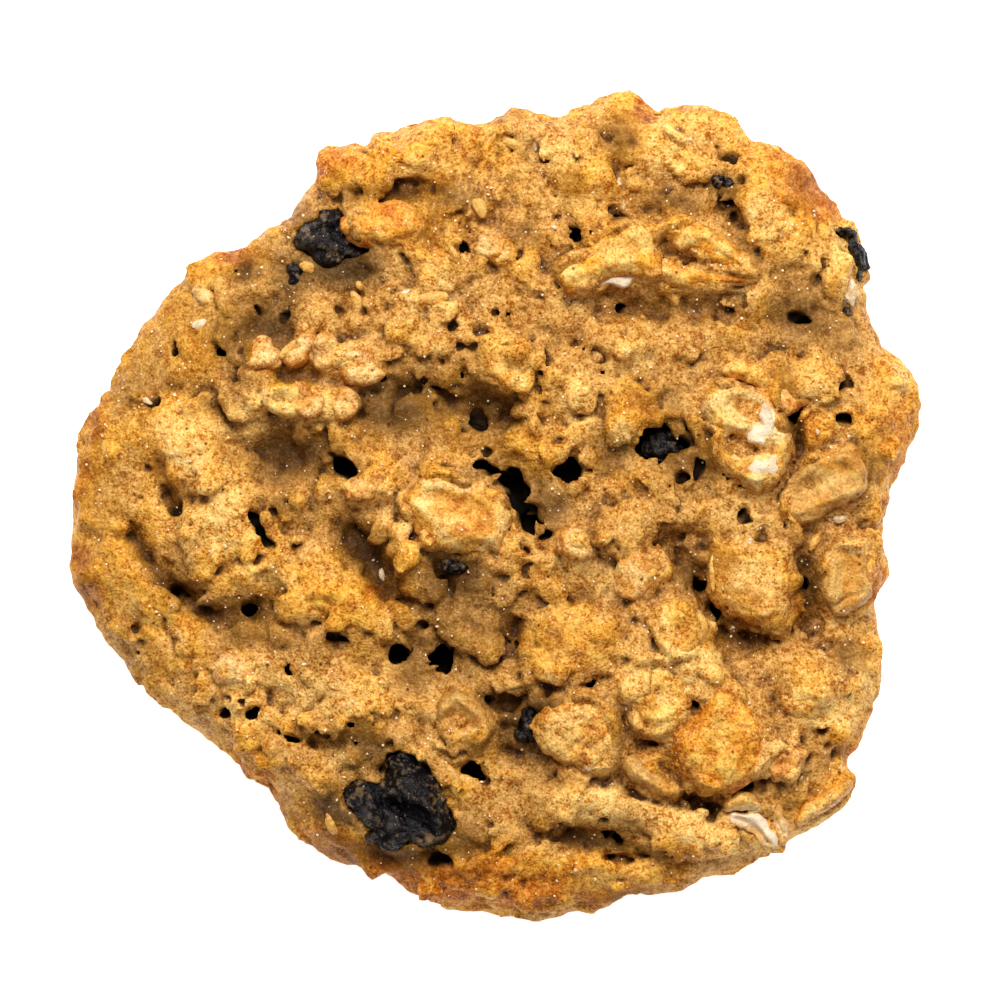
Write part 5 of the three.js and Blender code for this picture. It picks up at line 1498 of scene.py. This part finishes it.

# %% [markdown]
# The dough's finish. Baked oat dough is beige crumb with golden crests, brown at the rim, and
# greyish where juice has run. Hollows, crevices and places in shade get painted deep brown shade,
# and places that catch the light get painted cream-gold light, which also gives some lumps their
# paler colour. Over that go light and dark sandy grains up to half a millimetre wide, fewer of
# them in the painted shade, and then warm freckles and dark specks of bran and spice. The grains
# are raised a little, and white dots on them are painted glints of the melted sugar, shinier
# there too. Holes are painted nearly black inside as shade.

# %% Dough finish
baked = Finish("baked_oat_dough", IOR=1.45, Specular_IOR_Level=0.15)


def crumb_texture(finish, base, strength=1.0):
    """Light and dark grains, warm freckles, bran specks and painted sugar glints over a base colour."""
    crag, sand, grit = finish.noise(1.4, 2.0), finish.noise(0.5, 3.0, 0.75), finish.noise(0.2, 1.0)
    kinds = (0.12, 0.12), (0.09, 0.14), (0.07, 0.14), (0.17, 0.22)
    freckle, bran, glint, pale = finish.dots(0.5, *kinds)
    spice, = finish.dots(1.6, (0.16, 0.45))
    tone = (sand - 0.5) * 5.4 + (grit - 0.5) * 3.0 + (crag - 0.5) * 2.0
    dark = (0.1 - tone).between(0.0, 1.2) * strength
    light = tone.between(0.0, 1.0) * strength
    darker = finish.mix(1.0, base, colour(190, 144, 66), "MULTIPLY")
    lighter = finish.mix(1.0, base, colour(252, 246, 255), "SOFT_LIGHT")
    lighter = finish.mix(1.0, lighter, colour(52, 46, 47), "ADD")
    base = finish.mix(dark, base, darker)
    base = finish.mix(light, base, lighter)
    base = finish.mix(pale * 0.5, base, lighter)
    base = finish.mix(freckle * 0.5, base, colour(184, 98, 20))
    base = finish.mix(bran * 0.75, base, colour(104, 48, 10))
    base = finish.mix(spice * 0.85, base, colour(92, 28, 6))
    # painted highlight: white glints on some grains, which are also made shinier
    base = finish.mix(glint * 0.85, base, colour(255, 248, 232))
    return base, crag * 1.6 + sand * 1.6 + grit * 0.7 + pale * 0.3, glint + light * 0.2


valley, crevice = baked.kept("valley"), baked.kept("crevice")
toast, stain = baked.kept("toast"), baked.kept("stain")
shaded, lit = baked.kept("shaded"), baked.kept("lit")
shaft, sunk = baked.kept("shaft"), baked.kept("sunk")
blotch, cloud = baked.kept("blotch"), baked.kept("cloud")

crest = 1 - valley.between(0.28, 0.48)
hollow = valley.between(0.46, 0.74)
mottling = blotch * 0.30 + cloud * 0.20
gold = (toast * 0.8 + crest * 0.4 + mottling).between(0.0, 1.2)
brown = (toast * 0.9 + mottling).between(0.7, 1.8)

base = baked.mix(gold, colour(207, 149, 70), colour(232, 161, 50))
base = baked.mix(brown * 0.8, base, colour(198, 106, 18))
# painted light: cream-gold where the dough catches the light, partly the paler colour of lumps
base = baked.mix((lit * 1.1 - shaded + mottling * 0.5).between(0.1, 1.2) * 0.85, base, colour(254, 200, 109))
# painted shade: deep brown in the hollows
base = baked.mix(hollow * 0.75, base, colour(92, 50, 3))
# painted shade: dark brown where the dough lies in shade
base = baked.mix((shaded - lit * 0.4 + cloud * 0.08) * 0.95, base, colour(66, 38, 2))
base = baked.mix(stain * 0.75, base, colour(74, 54, 24))
# painted shade: nearly black in narrow crevices
base = baked.mix(crevice.between(0.52, 0.74) * 0.85, base, colour(44, 19, 1))
base, height, glint = crumb_texture(baked, base, 1 - shaded * 0.6)
# painted shade: nearly black deep inside the holes and the crack
painted_hole_shade = (1 - (shaft + cloud * 0.05).between(0.0, 0.22)) * sunk.between(0.3, 1.5)
base = baked.mix(painted_hole_shade, base, colour(10, 5, 1))

shine = 0.52 - glint * 0.4 + cloud * 0.06 + painted_hole_shade * 0.4
baked.wear(cookie_dough, Base_Color=base, Roughness=shine, Normal=baked.bump(height, 0.11))
print("nodes in the dough's finish:", len(baked.nodes))

# %% [markdown]
# The oats' finish. A toasted flake is straw yellow, deeper at its rim and where it browned, with
# painted shade in its grooves and creases, and fine grains, freckles and painted glints over it.
# Only where the grain is torn is it nearly white. Chips and plump pieces use the same recipe with
# warmer colours, so it is a function of its colours.

# %% Oat finishes
def toasted_oat(name, straw, gold, toast_and_shade, mottle, crumb):
    """A finish for one kind of oat, and the wires that go into its shader."""
    oat = Finish(name, IOR=1.45, Specular_IOR_Level=0.35)
    crevice, rim, torn, cloud = (oat.kept(kind) for kind in ("crevice", "rim", "torn", "cloud"))
    base = oat.mix(cloud.between(-1.0, 1.2), straw, gold)
    base = oat.mix(cloud.between(0.8, 2.0) * mottle, base, toast_and_shade)
    # painted shade: the brown in creases and grooves
    base = oat.mix(crevice.between(0.52, 0.74) * 0.75, base, toast_and_shade)
    base = oat.mix((1 - rim.between(-0.1, 0.9)) * 0.5, base, toast_and_shade)
    base, height, glint = crumb_texture(oat, base, crumb)
    base = oat.mix(torn * cloud.between(-2.4, 0.4) * 0.9, base, colour(252, 232, 200))
    shine = cloud * 0.05 + 0.5 - glint * 0.2
    return oat, {"Base_Color": base, "Roughness": shine, "Normal": oat.bump(height, 0.09)}


# straw and gold colours, a brown for toast that also paints the shade in creases, how mottled, how crumbly
OATS = {
    "straw_oat": ((250, 200, 112), (238, 168, 60), (188, 108, 18), 0.6, 0.8),
    "curl_straw": ((248, 208, 128), (238, 176, 72), (176, 108, 30), 0.5, 0.8),
    "honey_oat": ((246, 194, 98), (236, 160, 42), (180, 96, 14), 0.6, 0.8),
    "beige_oat": ((218, 166, 84), (220, 150, 54), (150, 92, 22), 0.45, 0.6),
    "white_oat": ((248, 218, 166), (236, 186, 110), (180, 120, 46), 0.5, 0.4),
    "cream_oat": ((250, 214, 150), (238, 182, 98), (190, 126, 44), 0.4, 0.6),
    "golden_knob": ((242, 174, 66), (230, 146, 30), (176, 96, 14), 0.5, 1.0),
    "pale_knob": ((252, 198, 102), (242, 174, 66), (190, 124, 40), 0.4, 1.0),
    "sandy_knob": ((234, 176, 86), (224, 152, 52), (176, 112, 36), 0.5, 1.0),
    "chip_oat": ((250, 198, 116), (236, 162, 68), (180, 112, 34), 0.4, 0.9),
    "orange_knob": ((246, 176, 74), (236, 148, 36), (190, 98, 18), 0.5, 0.9),
}
WEARERS = {
    "straw_oat": ["oat_flake_centre"],
    "curl_straw": ["oat_flake_curled"],
    "honey_oat": [
        "oat_flake_long_left", "oat_flake_long_right", "oat_flake_long_lower", "oat_shred_flap",
        "oat_flake_lower_rim",
    ],
    "beige_oat": ["oat_flake_right", "oat_flake_right_rim", "oat_flake_slender", "oat_ring"],
    "white_oat": ["oat_curl_lip_upper", "oat_curl_lip_lower", "oat_shred_white"],
    "cream_oat": ["oat_torn_lip", "oat_shred_petal"],
    "golden_knob": ["oat_piece_golden"],
    "pale_knob": [
        "oat_flake_above_curl", "oat_flake_creased", "oat_flake_top_right", "oat_piece_yellow",
        "oat_piece_pale",
    ],
    "sandy_knob": ["oat_piece_lower"],
    "chip_oat": ["oat_chips"],
    "orange_knob": ["oat_piece_upper_left"],
}
for name, (straw, gold, toast_and_shade, mottle, crumb) in OATS.items():
    oat, wires = toasted_oat(name, colour(*straw), colour(*gold), colour(*toast_and_shade), mottle, crumb)
    oat.wear(*(pieces[wearer + "_detail"] for wearer in WEARERS[name]), **wires)
print("oats dressed:", sum(len(wearers) for wearers in WEARERS.values()))

# %% [markdown]
# The berries' finish. Dried blueberry skin is nearly black, with painted shade darker still in the
# bottoms of its folds. The crests of its wrinkles are grey where the bloom remains, and near its
# edge there is a thin film of dough. It is glossy where juice has boiled out and dull elsewhere, so
# roughness follows a noise and the folds. Small pale dots are painted glints of dried sugar.

# %% Berry finish
berry = Finish("dried_blueberry", IOR=1.5, Specular_IOR_Level=0.15)
crevice, rim = berry.kept("crevice"), berry.kept("rim")
cloud, fleck, grit = berry.noise(1.8, 3.0, 0.6), berry.noise(0.5, 2.0, 0.6), berry.noise(0.2, 2.0)
skin = berry.mix(cloud.between(0.35, 0.7), colour(9, 7, 9), colour(23, 18, 20))
bloom = (1 - crevice.between(0.34, 0.50)) * (fleck - 0.2).between(0.2, 0.5)
skin = berry.mix(bloom * 0.42, skin, colour(98, 86, 76))
# painted shade: darker still in the bottoms of the folds
skin = berry.mix(crevice.between(0.5, 0.8), skin, colour(10, 7, 8))
# painted highlight: pale glints of dried sugar, grouped by the cloud noise
glint, = berry.dots(0.4, (0.06, 0.4))
skin = berry.mix(glint * cloud.between(0.42, 0.6) * 0.7, skin, colour(210, 202, 190))
film = (cloud * 0.6 + fleck * 0.6).between(0.62, 0.76) * (1 - rim.between(0.5, 2.4))
skin = berry.mix(film * 0.6, skin, colour(150, 116, 74))
dull = (fleck - 0.5) * 0.9 + crevice * 0.3 + 0.18
berries = [piece for name, piece in pieces.items() if name.startswith("blueberry")]
berry.wear(*berries, Base_Color=skin, Roughness=dull, Normal=berry.bump(fleck + grit * 0.8, 0.18))
print("berries dressed:", len(berries), "nodes in their finish:", len(berry.nodes))

# %% [markdown]
# Sugar and splinters. Clear sugar is nearly white, smooth and bright, so each facet mirrors a lamp.
# The milky flecks are duller. The splinters are the colour of straw, with some of the dough's
# grains over it.

# %% Sugar finishes
sugar = Finish("clear_sugar", IOR=1.54)
amber = sugar.mix(sugar.noise(0.8), colour(255, 236, 196), colour(255, 214, 150))
sugar.wear(pieces["sugar_crystals"], Base_Color=amber, Roughness=sugar.noise(0.3) * 0.3 + 0.02)

milky = Finish("milky_sugar", IOR=1.45)
milk_cloud, milk_grit = milky.noise(0.5, 3.0), milky.noise(0.18, 2.0)
milk = milky.mix(milk_cloud.between(0.35, 0.65), colour(250, 228, 192), colour(214, 172, 112))
milky_bump = milky.bump(milk_cloud + milk_grit * 0.5, 0.08)
milky.wear(pieces["sugar_flecks"], Base_Color=milk, Roughness=milk_cloud * 0.5 + 0.15, Normal=milky_bump)

splinter = Finish("splinter_straw", IOR=1.45)
straw_cloud = splinter.noise(0.8, 3.0)
straw = splinter.mix(straw_cloud, colour(238, 190, 96), colour(216, 148, 52))
straw, height, glint = crumb_texture(splinter, straw, 0.6)
straw_bump = splinter.bump(height, 0.07)
straw_shine = straw_cloud * 0.4 + 0.25
splinter.wear(pieces["oat_splinters"], Base_Color=straw, Roughness=straw_shine, Normal=straw_bump)
print("small finishes:", sugar.material.name, milky.material.name, splinter.material.name)

# %% [markdown]
# Floor, light and camera. The cookie lies on white and is seen from straight above. The floor is a
# tenth of a millimetre below the underside, because two faces in one plane would flicker. A broad
# soft light from the top of the picture models the lumps, a smaller one gives the melted sugar its
# glints, and a pale sky fills the hollows. The camera is far off with a long lens, so that the
# tall lumps don't lean outwards.

# %% Floor, light and camera
VIEW_CENTRE, VIEW_WIDTH = (0.40, 0.48), 88.13
CAMERA_HEIGHT, SENSOR = 900.0, 36.0
FLOOR_REACH, FLOOR_DROP = 600 * MM, 0.1 * MM

floor_mesh = bpy.data.meshes.new("floor")
signs = (-1, -1), (1, -1), (1, 1), (-1, 1)
floor_corners = [(a * FLOOR_REACH, b * FLOOR_REACH, -FLOOR_DROP) for a, b in signs]
floor_mesh.from_pydata(floor_corners, [], [(0, 1, 2, 3)])
floor = bpy.data.objects.new("floor", floor_mesh)
bpy.context.collection.objects.link(floor)
glow = {"Emission_Color": (1.0, 1.0, 1.0, 1.0), "Emission_Strength": 0.85}
white = Finish("white_floor", Roughness=0.9, **glow)
floor_shade = white.mix(white.noise(40.0) * 0.1, colour(255, 255, 255), colour(252, 252, 252))
white.wear(floor, Base_Color=floor_shade)

sky = bpy.data.worlds.new("pale_sky")
sky.use_nodes = True
sky.node_tree.nodes["Background"].inputs["Color"].default_value = (1.0, 1.0, 1.0, 1.0)
sky.node_tree.nodes["Background"].inputs["Strength"].default_value = 0.26
bpy.context.scene.world = sky


def lamp(name, place, size, power):
    """A square soft light, turned to face the cookie. Place and size are in millimetres."""
    data = bpy.data.lights.new(name, "AREA")
    data.size, data.energy = size * MM, power
    made = bpy.data.objects.new(name, data)
    made.location = [value * MM for value in place]
    made.rotation_euler = (-made.location).to_track_quat("-Z", "Y").to_euler()
    bpy.context.collection.objects.link(made)
    return made


lamp("window", (30, 270, 400), 260, 2.42)
lamp("spark", (-60, 260, 400), 26, 0.4)

camera_data = bpy.data.cameras.new("camera")
camera_data.sensor_width = SENSOR
camera_data.lens = SENSOR * (CAMERA_HEIGHT - CROWN) / VIEW_WIDTH
camera = bpy.data.objects.new("camera", camera_data)
camera.location = (VIEW_CENTRE[0] * MM, VIEW_CENTRE[1] * MM, CAMERA_HEIGHT * MM)
bpy.context.collection.objects.link(camera)
bpy.context.scene.camera = camera
bpy.context.scene.view_settings.view_transform = "Standard"
print("lens:", round(camera_data.lens), "mm")

# %% [markdown]
# The last look. Blender's view layer is brought up to date once more.

# %% The end
bpy.context.view_layer.update()
